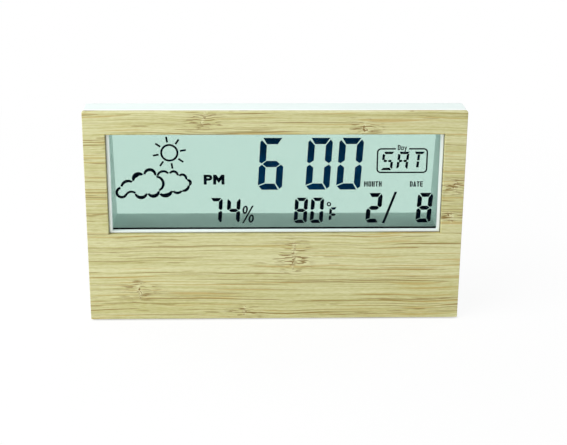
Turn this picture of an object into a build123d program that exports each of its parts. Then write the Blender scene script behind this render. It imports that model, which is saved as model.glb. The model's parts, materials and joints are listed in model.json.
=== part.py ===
from build123d import *
import math
import os

# Bamboo-fronted thermometer, hygrometer and clock with a see-through display.
# Millimetres, +Z up, front towards -Y, origin at the middle of the base on the table.

# Case
WIDTH = 140.0
TOP_DEPTH = 14.5
PLINTH_HEIGHT = 4.0
WALL = 1.8
CORNER_RADIUS = 0.4
REAR_EDGE_RADIUS = 1.6

# Rubber feet
FOOT_DIAMETER = 8.0
FOOT_THICKNESS = 1.0
FOOT_RECESS = 0.5
FOOT_INSET = 13.0
FOOT_FRONT_GAP = 2.0
FOOT_REAR_GAP = 3.0

# Bamboo panel and its adhesive film
BAMBOO_THICKNESS = 2.4
BAMBOO_ARRIS = 0.2
ADHESIVE_THICKNESS = 0.15
ADHESIVE_BORDER = 1.0
STILE_WIDTH = 8.0
WINDOW_HEIGHT = 38.35
PANEL_BELOW_WINDOW = 34.1
PANEL_ABOVE_WINDOW = 8.55

# Display frame
FRAME_THICKNESS = 1.8
LIP_CLEARANCE = 0.35
LIP_JAMB = 0.95
LIP_SILL = 0.6
LIP_RECESS = 1.6
POCKET_FLOOR = 0.75
POCKET_RIB = 0.8
TONGUE_WALL = 1.0
TONGUE_DEPTH = 2.0
FIT_GAP = 0.15

# Liquid crystal display
FRONT_GASKET_THICKNESS = 0.7
POLARISER_THICKNESS = 0.2
POLARISER_INSET = 0.5
GLASS_THICKNESS = 1.1
GLASS_MARGIN = 2.0
GLASS_HEAD = 1.0
GLASS_SILL = 1.4
GASKET_SETBACK = 0.5
CONTACT_LEDGE = 3.5
REAR_GASKET_THICKNESS = 0.5
ZEBRA_DEPTH = 2.5
ZEBRA_HEIGHT = 2.0
ZEBRA_LIFT = 0.5
ZEBRA_END = 3.0

# See-through tunnel behind the display
TUNNEL_WALL = 1.5
TUNNEL_DROP = 0.55
TUNNEL_SPREAD = 0.5
TUNNEL_DRAFT = 0.5
TUNNEL_ARRIS = 0.4

# Screws
SCREW_INSET = 4.6
SCREW_SHANK = 2.3
SCREW_HEAD = 4.6
SCREW_HEAD_HEIGHT = 1.6
SCREW_WELL = 3.6
SCREW_FLOOR = 1.6
SCREW_TIP_COVER = 0.8
BOARD_SCREW_SHANK = 1.7
BOARD_SCREW_HEAD = 3.8
BOARD_SCREW_HEAD_HEIGHT = 1.3
BOARD_SCREW_INSET = 3.0
BOARD_BOSS_WALL = 1.4

# Circuit board and what stands on it
BOARD_SIDE_GAP = 5.0
BOARD_THICKNESS = 1.2
BOARD_LIFT = 7.5
BOARD_CORNER = 1.0
BOARD_EDGE_GAP = 0.2
PART_GAP = 1.25
BLOB_DIAMETER = 11.0
BLOB_HEIGHT = 1.8
BUZZER_DIAMETER = 12.0
BUZZER_HEIGHT = 8.5
BUZZER_PORT = 2.0
SENSOR_WIDTH = 9.0
SENSOR_HEIGHT = 10.0
SENSOR_DEPTH = 5.0
SENSOR_WALL = 0.9
PROBE_DIAMETER = 2.2
PROBE_LENGTH = 3.2
PROBE_HEIGHT = 6.0
CRYSTAL_DIAMETER = 2.1
CRYSTAL_LENGTH = 6.0
CAPACITOR_DIAMETER = 4.0
CAPACITOR_HEIGHT = 7.0

# Openings in the rear wall for the buzzer and the sensor
SOUND_HOLE = 1.4
SOUND_RING = 3.2
VENT_SLOT = 1.2
VENT_PITCH = 2.8

# Keys
BUTTON_WIDTH = 9.0
BUTTON_HEIGHT = 5.5
BUTTON_CORNER = 1.5
BUTTON_PROUD = 1.0
BUTTON_GAP = 0.2
BUTTON_FLANGE = 1.2
BUTTON_BRIM = 0.8
BUTTON_STEM = 4.0
KEY_PITCH = 11.0
KEY_RISE = 12.5
KEY_SHIFT = 2.8
KEY_LIFT = 1.0
SWITCH_SIDE = 6.0
SWITCH_BODY = 3.5
SWITCH_FLOOR = 1.0
SWITCH_HEIGHT = 9.5
PLUNGER_DIAMETER = 3.5
KEY_TRAVEL = 0.4

# Battery bay, for two AAA cells
CELL_DIAMETER = 10.5
CELL_LENGTH = 44.5
CELL_NUB_DIAMETER = 3.8
CELL_NUB_HEIGHT = 0.8
CELL_GAP = 0.4
CONTACT_THICKNESS = 0.3
CONTACT_WIDTH = 8.4
TERMINAL_HEIGHT = 8.8
LUG_WIDTH = 2.6
LUG_REACH = 3.0
LUG_OFFSET = 2.5
SPRING_LENGTH = 4.6
SPRING_WIRE = 0.5
SPRING_TURNS = 3
BAY_WALL = 1.2
BAY_CLEARANCE = 1.831
LEAD_DIAMETER = 1.2
LEAD_BEND = 2.5
LEAD_REACH = 4.0

# Battery door
DOOR_THICKNESS = 1.6
DOOR_LEDGE = 1.5
DOOR_LEDGE_THICKNESS = 1.4
DOOR_GAP = 0.2
DOOR_CORNER = 1.5
DOOR_TAB_WIDTH = 6.0
DOOR_TAB_THICKNESS = 0.9
DOOR_TAB_REACH = 1.6
DOOR_TAB_ROOM = 1.6
DOOR_TAB_SPACING = 30.0
DOOR_LATCH_WIDTH = 12.0
DOOR_LATCH_LENGTH = 7.0
DOOR_GRIP_WIDTH = 8.0
DOOR_GRIP_PITCH = 1.6
DOOR_GRIP_HEIGHT = 0.4

# Levels from the table to the top
CASE_BOTTOM = FOOT_THICKNESS - FOOT_RECESS
PLINTH_TOP = CASE_BOTTOM + PLINTH_HEIGHT
WINDOW_WIDTH = WIDTH - 2 * STILE_WIDTH
WINDOW_BOTTOM = CASE_BOTTOM + PANEL_BELOW_WINDOW
WINDOW_TOP = WINDOW_BOTTOM + WINDOW_HEIGHT
HEIGHT = WINDOW_TOP + PANEL_ABOVE_WINDOW
VIEW_HALF = WINDOW_WIDTH / 2 - LIP_CLEARANCE - LIP_JAMB
VIEW_BOTTOM = WINDOW_BOTTOM + LIP_CLEARANCE + LIP_SILL
VIEW_TOP = WINDOW_TOP
GLASS_HALF = VIEW_HALF + GLASS_MARGIN
GLASS_TOP = VIEW_TOP + GLASS_HEAD
REAR_GLASS_BOTTOM = VIEW_BOTTOM - GLASS_SILL
FRONT_GLASS_BOTTOM = REAR_GLASS_BOTTOM - CONTACT_LEDGE
TUNNEL_BOTTOM = VIEW_BOTTOM - TUNNEL_DROP
TUNNEL_HALF = VIEW_HALF + TUNNEL_SPREAD
ZEBRA_BOTTOM = FRONT_GLASS_BOTTOM + ZEBRA_LIFT
BOARD_WIDTH = WIDTH - 2 * BOARD_SIDE_GAP
BOARD_BOTTOM = CASE_BOTTOM + BOARD_LIFT
BOARD_TOP = min(ZEBRA_BOTTOM + ZEBRA_HEIGHT + BOARD_EDGE_GAP, TUNNEL_BOTTOM - TUNNEL_WALL - BOARD_EDGE_GAP)

# Battery bay and door, laid out on the rear face
BAY_LENGTH = CELL_LENGTH + SPRING_LENGTH + 2 * CONTACT_THICKNESS
BAY_HEIGHT = 2 * CELL_DIAMETER + 3 * CELL_GAP
BAY_DEPTH = DOOR_THICKNESS + 2 * CELL_GAP + CELL_DIAMETER
BAY_CENTRE = (PLINTH_TOP + TUNNEL_BOTTOM - TUNNEL_WALL) / 2
BAY_MOUTH = DOOR_LEDGE + DOOR_GAP + BAY_WALL
DOOR_WIDTH = BAY_LENGTH + 2 * DOOR_LEDGE
DOOR_HEIGHT = BAY_HEIGHT + 2 * DOOR_LEDGE
CELL_RISE = (CELL_DIAMETER + CELL_GAP) / 2
CELL_SINK = DOOR_THICKNESS + CELL_GAP + CELL_DIAMETER / 2
LUG_SINK = CELL_SINK + LUG_OFFSET
LUG_END = BAY_LENGTH / 2 + BAY_WALL + LUG_REACH
LEAD_X = -LUG_END - LEAD_REACH

# Layers as distances from the front face
DISPLAY_DEPTH = BAMBOO_THICKNESS + ADHESIVE_THICKNESS + POCKET_FLOOR + FRONT_GASKET_THICKNESS
BOARD_DEPTH = DISPLAY_DEPTH + POLARISER_THICKNESS + GLASS_THICKNESS + ZEBRA_DEPTH + BOARD_THICKNESS


def bay_lean():
    """Lean of the rear face, in radians, at which the battery bay just clears the board."""
    low, high = 0.0, math.pi / 4
    for _ in range(60):
        lean = (low + high) / 2
        floor = (
            TOP_DEPTH
            + (HEIGHT - BAY_CENTRE) * math.tan(lean)
            - (BAY_HEIGHT / 2 + BAY_WALL) * math.sin(lean)
            - (BAY_DEPTH + BAY_WALL) * math.cos(lean)
        )
        if floor < BOARD_DEPTH + BAY_CLEARANCE:
            low = lean
        else:
            high = lean
    return high


# The rear face leans towards the front from the plinth to the top
LEAN = bay_lean()
BASE_DEPTH = TOP_DEPTH + (HEIGHT - PLINTH_TOP) * math.tan(LEAN)

# Layers from the front to the back
FRONT = -BASE_DEPTH / 2
REAR = BASE_DEPTH / 2
PANEL_BACK = FRONT + BAMBOO_THICKNESS
FRAME_FRONT = PANEL_BACK + ADHESIVE_THICKNESS
FRAME_BACK = FRAME_FRONT + FRAME_THICKNESS
POCKET = FRAME_FRONT + POCKET_FLOOR
LCD_FRONT = FRONT + DISPLAY_DEPTH
GLASS_FRONT = LCD_FRONT + POLARISER_THICKNESS
GLASS_JOIN = GLASS_FRONT + GLASS_THICKNESS
GLASS_BACK = GLASS_JOIN + GLASS_THICKNESS
LCD_BACK = GLASS_BACK + POLARISER_THICKNESS
TUNNEL_FRONT = LCD_BACK + REAR_GASKET_THICKNESS
BOARD_BACK = FRONT + BOARD_DEPTH
BOARD_FRONT = BOARD_BACK - BOARD_THICKNESS

# Places seen from the front, as (x, z)
SCREW_X = WIDTH / 2 - SCREW_INSET
SCREW_LEVELS = (CASE_BOTTOM + SCREW_INSET, HEIGHT - SCREW_INSET)
SCREW_PLACES = [(x, z) for x in (-SCREW_X, SCREW_X) for z in SCREW_LEVELS]
BOARD_BOSS = BOARD_SCREW_SHANK / 2 + BOARD_BOSS_WALL
BOARD_SCREW_HIGH = FRONT_GLASS_BOTTOM - FIT_GAP - BOARD_BOSS - 0.75 * POCKET_RIB
BOARD_SCREW_LOW = BOARD_BOTTOM + BOARD_BOSS + PART_GAP
BOARD_SCREW_OUTER = BOARD_WIDTH / 2 - BOARD_SCREW_INSET
BOARD_SCREW_INNER = BAY_LENGTH / 2 - BOARD_SCREW_INSET
BOARD_SCREW_PLACES = [
    (-BOARD_SCREW_INNER, BOARD_SCREW_LOW),
    (BOARD_SCREW_INNER, BOARD_SCREW_LOW),
    (-BOARD_SCREW_INNER, BOARD_SCREW_HIGH),
    (BOARD_SCREW_INNER, BOARD_SCREW_HIGH),
    (-BOARD_SCREW_OUTER, BOARD_SCREW_HIGH),
    (BOARD_SCREW_OUTER, BOARD_SCREW_HIGH),
]
KEY_MIDDLE = (BAY_LENGTH / 2 + BAY_MOUTH + WIDTH / 2 - WALL) / 2 - KEY_SHIFT
KEY_LEVEL = BAY_CENTRE + KEY_LIFT
BUTTON_PLACES = {
    "mode": (KEY_MIDDLE - KEY_PITCH / 2, KEY_LEVEL + KEY_RISE / 2),
    "set": (KEY_MIDDLE + KEY_PITCH / 2, KEY_LEVEL + KEY_RISE / 2),
    "up": (KEY_MIDDLE - KEY_PITCH / 2, KEY_LEVEL - KEY_RISE / 2),
    "down": (KEY_MIDDLE + KEY_PITCH / 2, KEY_LEVEL - KEY_RISE / 2),
}
SENSOR_MIDDLE = (LEAD_X - WIDTH / 2) / 2
BUZZER_PLACE = (SENSOR_MIDDLE + SENSOR_WIDTH / 2, BOARD_TOP - PART_GAP - BUZZER_DIAMETER / 2)
SENSOR_PLACE = (SENSOR_MIDDLE - PART_GAP / 2, BOARD_BOTTOM + PART_GAP + SENSOR_HEIGHT / 2)
PROBE_LEVEL = SENSOR_PLACE[1] + SENSOR_HEIGHT / 2 + 2 * PROBE_DIAMETER
PROBE_PLACE = (SENSOR_MIDDLE - SENSOR_WIDTH / 2 - PART_GAP, PROBE_LEVEL)
BLOB_PLACE = (BAY_LENGTH / 6, BAY_CENTRE - CELL_RISE / 2)
CRYSTAL_PLACE = (-BAY_LENGTH / 4, BAY_CENTRE - CELL_RISE / 2)
CAPACITOR_PLACE = (BAY_LENGTH / 2 + BAY_MOUTH + PART_GAP + CAPACITOR_DIAMETER / 2, KEY_LEVEL)


def slope_y(z, inset=0.0):
    """Where the leaning rear face, moved in by inset, is at height z."""
    return FRONT + TOP_DEPTH + (HEIGHT - z) * math.tan(LEAN) - inset / math.cos(LEAN)


# Local x runs to the left seen from the front, y up the rear face, z out of it
REAR_FACE = Plane(
    origin=(0, slope_y(BAY_CENTRE), BAY_CENTRE),
    x_dir=(-1, 0, 0),
    z_dir=(0, math.cos(LEAN), math.sin(LEAN)),
)


def block(x0, x1, y0, y1, z0, z1):
    return Pos((x0 + x1) / 2, (y0 + y1) / 2, (z0 + z1) / 2) * Box(x1 - x0, y1 - y0, z1 - z0)


def rear_block(x0, x1, up0, up1, out0, out1):
    """Box in the rear face's own axes: x as in the row frame, up the slope, out of it."""
    centre = Pos(-(x0 + x1) / 2, (up0 + up1) / 2, (out0 + out1) / 2)
    return REAR_FACE * centre * Box(x1 - x0, up1 - up0, out1 - out0)


def rod(radius, place, y0, y1):
    """Cylinder along Y at place, which is (x, z)."""
    return Pos(place[0], (y0 + y1) / 2, place[1]) * Rot(90, 0, 0) * Cylinder(radius, y1 - y0)


def slab(half, z0, z1, y0, y1, radius=0.0):
    """Upright plate centred on x with rounded corners."""
    plate = block(-half, half, y0, y1, z0, z1)
    return fillet(plate.edges().filter_by(Axis.Y), radius) if radius else plate


def ring(half, z0, z1, wall, y0, y1):
    """Upright rectangular ring; wall is how far it reaches in from the given outline."""
    return block(-half, half, y0, y1, z0, z1) - block(
        -half + wall, half - wall, y0 - 1, y1 + 1, z0 + wall, z1 - wall
    )


def case_outline(y0, y1):
    return slab(WIDTH / 2, CASE_BOTTOM, HEIGHT, y0, y1, CORNER_RADIUS)


def wedge(inset, front):
    """Prism with the case's side profile, each outer face moved in by inset."""
    low, high = CASE_BOTTOM + inset, HEIGHT - inset
    knee = HEIGHT - (BASE_DEPTH - TOP_DEPTH - inset + inset / math.cos(LEAN)) / math.tan(LEAN)
    rear, top = REAR - inset, slope_y(high, inset)
    profile = Polyline((front, low), (rear, low), (rear, knee), (top, high), (front, high), close=True)
    return extrude(Plane.YZ * make_face(profile), WIDTH / 2 - inset, both=True)


def bamboo_panel():
    window = block(-WINDOW_WIDTH / 2, WINDOW_WIDTH / 2, FRONT - 1, REAR, WINDOW_BOTTOM, WINDOW_TOP)
    panel = case_outline(FRONT, PANEL_BACK) - window
    return chamfer(panel.faces().sort_by(Axis.Y)[0].edges(), BAMBOO_ARRIS)


def panel_adhesive():
    rim = ADHESIVE_BORDER
    film = slab(WIDTH / 2 - rim, CASE_BOTTOM + rim, HEIGHT - rim, PANEL_BACK, FRAME_FRONT)
    half = WINDOW_WIDTH / 2 + rim
    return film - block(-half, half, FRONT, REAR, WINDOW_BOTTOM - rim, WINDOW_TOP + rim)


def screw_seat(z):
    """Where a case screw's head sits, at the bottom of its well."""
    return slope_y(max(z, PLINTH_TOP)) - SCREW_WELL


SCREW_LENGTH = screw_seat(HEIGHT - SCREW_INSET) - FRAME_FRONT - SCREW_TIP_COVER


def front_frame():
    frame = case_outline(FRAME_FRONT, FRAME_BACK)
    # The lip has two jambs and a sill, and the panel hides the edge above them
    lip_half = WINDOW_WIDTH / 2 - LIP_CLEARANCE
    low, high = WINDOW_BOTTOM + LIP_CLEARANCE, WINDOW_TOP - LIP_CLEARANCE
    frame += slab(lip_half, low, high, FRONT + LIP_RECESS, FRAME_BACK)
    frame -= block(-VIEW_HALF, VIEW_HALF, FRONT - 1, REAR, VIEW_BOTTOM, VIEW_TOP)
    pocket = GLASS_HALF + FIT_GAP
    pocket_low, pocket_high = FRONT_GLASS_BOTTOM - FIT_GAP, GLASS_TOP + FIT_GAP
    rib = POCKET_RIB
    frame += ring(pocket + rib, pocket_low - rib, pocket_high + rib, rib, FRAME_BACK, GLASS_JOIN - 0.1)
    frame -= block(-pocket, pocket, POCKET, REAR, pocket_low, pocket_high)
    inner = WALL + FIT_GAP
    low, high = CASE_BOTTOM + inner, HEIGHT - inner
    frame += ring(WIDTH / 2 - inner, low, high, TONGUE_WALL, FRAME_BACK, FRAME_BACK + TONGUE_DEPTH)
    for place in SCREW_PLACES:
        end = screw_seat(place[1]) - SCREW_FLOOR
        frame += rod(SCREW_INSET - WALL - 0.2, place, FRAME_BACK - 0.5, end)
        frame -= rod(SCREW_SHANK / 2 + 0.05, place, end + SCREW_FLOOR - SCREW_LENGTH - 0.3, end + 1)
    for place in BOARD_SCREW_PLACES:
        frame += rod(BOARD_BOSS, place, FRAME_BACK - 0.5, BOARD_FRONT)
        frame -= rod(BOARD_SCREW_SHANK / 2 + 0.05, place, FRAME_BACK - 0.3, BOARD_FRONT + 1)
    return frame


def front_gasket():
    low = REAR_GLASS_BOTTOM
    outer = block(-GLASS_HALF, GLASS_HALF, POCKET, LCD_FRONT, low, GLASS_TOP)
    half = VIEW_HALF + GASKET_SETBACK
    return outer - block(-half, half, FRONT, REAR, VIEW_BOTTOM, VIEW_TOP + GASKET_SETBACK / 2)


def display_layer(y0, y1):
    """Sheet over the rear glass, a little smaller than it."""
    half = GLASS_HALF - POLARISER_INSET
    return slab(half, REAR_GLASS_BOTTOM + POLARISER_INSET, GLASS_TOP - POLARISER_INSET, y0, y1)


def polariser(y0):
    return display_layer(y0, y0 + POLARISER_THICKNESS)


def rear_gasket():
    half = TUNNEL_HALF + GASKET_SETBACK
    sheet = slab(GLASS_HALF, REAR_GLASS_BOTTOM, GLASS_TOP, LCD_BACK, TUNNEL_FRONT)
    return sheet - block(-half, half, FRONT, REAR, TUNNEL_BOTTOM, VIEW_TOP + GASKET_SETBACK / 2)


def zebra_strip():
    half = GLASS_HALF - ZEBRA_END
    return block(-half, half, GLASS_JOIN, BOARD_FRONT, ZEBRA_BOTTOM, ZEBRA_BOTTOM + ZEBRA_HEIGHT)


def main_board():
    board = slab(BOARD_WIDTH / 2, BOARD_BOTTOM, BOARD_TOP, BOARD_FRONT, BOARD_BACK, BOARD_CORNER)
    for place in BOARD_SCREW_PLACES:
        board -= rod(BOARD_SCREW_SHANK / 2 + 0.2, place, BOARD_FRONT - 1, BOARD_BACK + 1)
    return board


def pan_screw(place, seat, shank, head, head_height, length):
    """Cross-recessed screw along Y, its head towards the rear."""
    screw = rod(head / 2, place, seat, seat + head_height)
    screw = fillet(screw.edges().sort_by(Axis.Y)[-1], head_height * 0.45)
    screw += rod(shank / 2, place, seat - length, seat + 0.1)
    x, z = place
    for along, across in ((head * 0.28, head * 0.07), (head * 0.07, head * 0.28)):
        low, high = seat + head_height * 0.45, seat + head_height * 2
        screw -= block(x - along, x + along, low, high, z - across, z + across)
    return screw


def case_screws():
    return [
        pan_screw(p, screw_seat(p[1]), SCREW_SHANK, SCREW_HEAD, SCREW_HEAD_HEIGHT, SCREW_LENGTH)
        for p in SCREW_PLACES
    ]


def board_screws():
    length = BOARD_BACK - FRAME_BACK
    return [
        pan_screw(p, BOARD_BACK, BOARD_SCREW_SHANK, BOARD_SCREW_HEAD, BOARD_SCREW_HEAD_HEIGHT, length)
        for p in BOARD_SCREW_PLACES
    ]


def chip_blob():
    blob = rod(BLOB_DIAMETER / 2, BLOB_PLACE, BOARD_BACK, BOARD_BACK + BLOB_HEIGHT)
    return fillet(blob.edges().sort_by(Axis.Y)[-1], BLOB_HEIGHT * 0.8)


def crystal():
    x, z = CRYSTAL_PLACE
    radius = CRYSTAL_DIAMETER / 2
    wire, axis, foot = radius / 7, BOARD_BACK + radius, z - CRYSTAL_LENGTH * 0.7
    can = Pos(x, axis, z) * Cylinder(radius, CRYSTAL_LENGTH)
    can = fillet(can.edges().filter_by(GeomType.CIRCLE), radius / 4)
    for at in (x - 0.4 * radius, x + 0.4 * radius):
        can += block(at - wire, at + wire, BOARD_BACK, axis + wire, foot, foot + 2 * wire)
        can += block(at - wire, at + wire, axis - wire, axis + wire, foot, z - CRYSTAL_LENGTH * 0.45)
    return can


def capacitor():
    can = rod(CAPACITOR_DIAMETER / 2, CAPACITOR_PLACE, BOARD_BACK, BOARD_BACK + CAPACITOR_HEIGHT)
    return fillet(can.edges().sort_by(Axis.Y)[-1], CAPACITOR_DIAMETER / 10)


def buzzer():
    top = BOARD_BACK + BUZZER_HEIGHT
    can = rod(BUZZER_DIAMETER / 2, BUZZER_PLACE, BOARD_BACK, top)
    can = fillet(can.edges().sort_by(Axis.Y)[-1], 0.6)
    return can - rod(BUZZER_PORT / 2, BUZZER_PLACE, top - BUZZER_PORT, top + 1)


def humidity_sensor():
    x, z = SENSOR_PLACE
    half, tall, wall = SENSOR_WIDTH / 2, SENSOR_HEIGHT / 2, SENSOR_WALL
    lid = BOARD_BACK + SENSOR_DEPTH
    cage = block(x - half, x + half, BOARD_BACK, lid, z - tall, z + tall)
    half, tall = half - wall, tall - wall
    cage -= block(x - half, x + half, BOARD_BACK + wall, lid - wall, z - tall, z + tall)
    slit = tall / 9
    for step in range(-2, 3):
        at = z + step * tall * 0.38
        cage -= block(x - half + slit, x + half - slit, lid - 2 * wall, lid + wall, at - slit, at + slit)
    return cage


def temperature_probe():
    x, z = PROBE_PLACE
    radius, tip = PROBE_DIAMETER / 2, BOARD_BACK + PROBE_HEIGHT
    bead = rod(radius, PROBE_PLACE, tip - PROBE_LENGTH, tip)
    bead = fillet(bead.edges().filter_by(GeomType.CIRCLE), radius * 0.8)
    for at in (x - radius / 2, x + radius / 2):
        bead += rod(radius / 5, (at, z), BOARD_BACK, tip - PROBE_LENGTH / 2)
    return bead


def switch_bases():
    bases = []
    half = SWITCH_SIDE / 2
    for x, z in BUTTON_PLACES.values():
        base = block(x - half, x + half, BOARD_BACK, BOARD_BACK + SWITCH_BODY, z - half, z + half)
        low, high = BOARD_BACK + SWITCH_FLOOR, BOARD_BACK + SWITCH_BODY + 1
        bore = rod(PLUNGER_DIAMETER / 2 + 0.1, (x, z), low, high)
        bases.append(base - bore)
    return bases


def plunger(place):
    tip = BOARD_BACK + SWITCH_HEIGHT
    pin = rod(PLUNGER_DIAMETER / 2, place, BOARD_BACK + SWITCH_FLOOR + 0.2 + KEY_TRAVEL, tip)
    return chamfer(pin.edges().sort_by(Axis.Y)[-1], 0.3)


def leaning_slice(shape, out0, out1):
    """Keeps the part of shape between two planes parallel to the rear face."""
    reach = 4 * WIDTH
    return shape & rear_block(-reach, reach, -reach, reach, out0, out1)


def rounded_bar(place, width, height, radius):
    x, z = place
    out = REAR + 2 * BUTTON_PROUD
    bar = block(x - width / 2, x + width / 2, BOARD_BACK, out, z - height / 2, z + height / 2)
    return fillet(bar.edges().filter_by(Axis.Y), radius)


def button(place):
    x, z = place
    under = -WALL - 0.1
    cap = rounded_bar(place, BUTTON_WIDTH, BUTTON_HEIGHT, BUTTON_CORNER)
    cap = leaning_slice(cap, under - 0.2, BUTTON_PROUD)
    outer = cap.faces().filter_by(Plane(origin=(0, 0, 0), z_dir=REAR_FACE.z_dir)).sort_by(Axis.Y)[-1]
    cap = fillet(outer.edges(), BUTTON_PROUD / 2)
    wide, tall = BUTTON_WIDTH + 2 * BUTTON_BRIM, BUTTON_HEIGHT + 2 * BUTTON_BRIM
    flange = rounded_bar(place, wide, tall, BUTTON_CORNER + BUTTON_BRIM)
    cap += leaning_slice(flange, under - BUTTON_FLANGE, under)
    stem_end = slope_y(z, WALL + 0.1 + BUTTON_FLANGE / 2)
    return cap + rod(BUTTON_STEM / 2, place, BOARD_BACK + SWITCH_HEIGHT, stem_end)


def tunnel_core():
    """The see-through space behind the display, a little narrower at the rear."""
    middle = (TUNNEL_BOTTOM + VIEW_TOP) / 2
    mouth = Plane(origin=(0, TUNNEL_FRONT, middle), x_dir=(1, 0, 0), z_dir=(0, 1, 0))
    opening = mouth * Rectangle(2 * TUNNEL_HALF, VIEW_TOP - TUNNEL_BOTTOM)
    return extrude(opening, 2 * BASE_DEPTH, taper=TUNNEL_DRAFT)


def tunnel_flare():
    """Small arris round the tunnel's mouth in the rear face."""
    draft = math.tan(math.radians(TUNNEL_DRAFT))
    low = TUNNEL_BOTTOM + (slope_y(TUNNEL_BOTTOM) - TUNNEL_FRONT) * draft
    high = VIEW_TOP - (slope_y(VIEW_TOP) - TUNNEL_FRONT) * draft
    half = TUNNEL_HALF - (slope_y((low + high) / 2) - TUNNEL_FRONT) * draft
    tall, up = (high - low) / math.cos(LEAN), ((low + high) / 2 - BAY_CENTRE) / math.cos(LEAN)
    inside = TUNNEL_ARRIS / 4
    reach = TUNNEL_ARRIS + inside
    outline = REAR_FACE * Pos(0, up, -reach) * Rectangle(2 * (half - inside), tall - 2 * inside)
    return extrude(outline, 2 * reach, taper=-45)


def round_top_corners(plate, radius):
    """Rounds the two upper corners of a plate that lies on the rear face."""
    corners = plate.edges().filter_by(Axis((0, 0, 0), REAR_FACE.z_dir)).sort_by(Axis.Z)
    return fillet(corners[-2:], radius)


def door_recess():
    half, tall = DOOR_WIDTH / 2 + DOOR_GAP, DOOR_HEIGHT / 2 + DOOR_GAP
    recess = rear_block(-half, half, -tall, tall, -DOOR_THICKNESS, DOOR_THICKNESS)
    return round_top_corners(recess, DOOR_CORNER + DOOR_GAP)


def tab_slots():
    """Room behind the wall's lower edge for the door's tabs to hook in and swing."""
    low = -DOOR_HEIGHT / 2
    half = DOOR_TAB_WIDTH / 2 + 0.3
    depth = WALL + DOOR_TAB_THICKNESS + DOOR_TAB_ROOM
    deep, high = low - DOOR_TAB_REACH - 2 * DOOR_GAP, low + DOOR_LEDGE + 0.1
    slots = []
    for x in (-DOOR_TAB_SPACING / 2, DOOR_TAB_SPACING / 2):
        slots.append(rear_block(x - half, x + half, deep, high, -depth, -WALL))
        slots.append(rear_block(x - half, x + half, low - DOOR_GAP, high, -depth, 0))
    return slots


def lug_slots():
    start, end = -LUG_END - 1, -BAY_LENGTH / 2 + 0.1
    half, thick = LUG_WIDTH / 2 + 0.2, CONTACT_THICKNESS / 2 + 0.2
    return [
        rear_block(start, end, up - half, up + half, -LUG_SINK - thick, -LUG_SINK + thick)
        for up in (-CELL_RISE, CELL_RISE)
    ]


def wall_hole(radius, place):
    return rod(radius, place, slope_y(place[1], 2 * WALL), slope_y(place[1], -WALL))


def sound_holes():
    x, z = BUZZER_PLACE
    turns = [k * math.pi / 3 for k in range(6)]
    around = [(x + SOUND_RING * math.cos(t), z + SOUND_RING * math.sin(t)) for t in turns]
    return [wall_hole(SOUND_HOLE / 2, place) for place in [BUZZER_PLACE] + around]


def vent_slots():
    x, z = SENSOR_PLACE
    half, radius = (SENSOR_WIDTH - VENT_SLOT) / 2, VENT_SLOT / 2
    slots = []
    for step in range(-2, 3):
        at = z + VENT_PITCH * step
        low, high = slope_y(at, 2 * WALL), slope_y(at, -WALL)
        slot = block(x - half, x + half, low, high, at - radius, at + radius)
        slots.append(slot + wall_hole(radius, (x - half, at)) + wall_hole(radius, (x + half, at)))
    return slots


def foot_places():
    x, radius = WIDTH / 2 - FOOT_INSET, FOOT_DIAMETER / 2
    rows = (FRAME_BACK + radius + FOOT_FRONT_GAP, REAR - radius - FOOT_REAR_GAP)
    return [(side, y) for side in (-x, x) for y in rows]


def rear_housing():
    outer = wedge(0, FRAME_BACK)
    behind = [e for e in outer.edges() if e.center().Y > FRAME_BACK + 0.1]
    behind = [e for e in behind if e.center().Y < REAR - 0.1 or e.center().Z < PLINTH_TOP - 0.1]
    rim = [e for e in behind if abs((e @ 0).Y - (e @ 1).Y) < 0.9 * e.length]
    outer = fillet(rim, REAR_EDGE_RADIUS)
    outer = fillet(outer.edges().filter_by(Axis.Y), CORNER_RADIUS)
    housing = outer - wedge(WALL, FRAME_BACK - 1)

    duct = TUNNEL_HALF + TUNNEL_WALL
    half, tall = BAY_LENGTH / 2, BAY_HEIGHT / 2
    long, high = half + BAY_WALL, tall + BAY_WALL
    wide, deep = half + BAY_MOUTH, tall + BAY_MOUTH
    added = [
        slab(duct, TUNNEL_BOTTOM - TUNNEL_WALL, VIEW_TOP + TUNNEL_WALL, TUNNEL_FRONT, REAR),
        rear_block(-long, long, -high, high, -BAY_DEPTH - BAY_WALL, 0),
        rear_block(-wide, wide, -deep, deep, -DOOR_THICKNESS - DOOR_LEDGE_THICKNESS, 0),
    ]
    well = SCREW_HEAD / 2 + 0.3
    for place in SCREW_PLACES:
        added.append(rod(well + 1.0, place, screw_seat(place[1]) - SCREW_FLOOR, REAR))
    for piece in added:
        housing += piece & outer

    housing -= tunnel_core()
    housing -= tunnel_flare()
    housing -= rear_block(-half, half, -tall, tall, -BAY_DEPTH, DOOR_THICKNESS)
    housing -= door_recess()
    for hole in tab_slots() + lug_slots() + sound_holes() + vent_slots():
        housing -= hole
    for place in BUTTON_PLACES.values():
        wide, high = BUTTON_WIDTH + 2 * BUTTON_GAP, BUTTON_HEIGHT + 2 * BUTTON_GAP
        housing -= rounded_bar(place, wide, high, BUTTON_CORNER + BUTTON_GAP)
    for place in SCREW_PLACES:
        seat = screw_seat(place[1])
        housing -= rod(SCREW_SHANK / 2 + 0.25, place, seat - SCREW_FLOOR - 1, seat + 1)
        housing -= rod(well, place, seat, REAR + WALL)
    for x, y in foot_places():
        housing -= Pos(x, y, CASE_BOTTOM) * Cylinder(FOOT_DIAMETER / 2 + 0.1, 2 * FOOT_RECESS)
    return housing


def rubber_feet():
    disc = Pos(0, 0, FOOT_THICKNESS / 2) * Cylinder(FOOT_DIAMETER / 2, FOOT_THICKNESS)
    foot = chamfer(disc.edges().sort_by(Axis.Z)[0], FOOT_THICKNESS / 5)
    return [Pos(x, y, 0) * foot for x, y in foot_places()]


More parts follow.
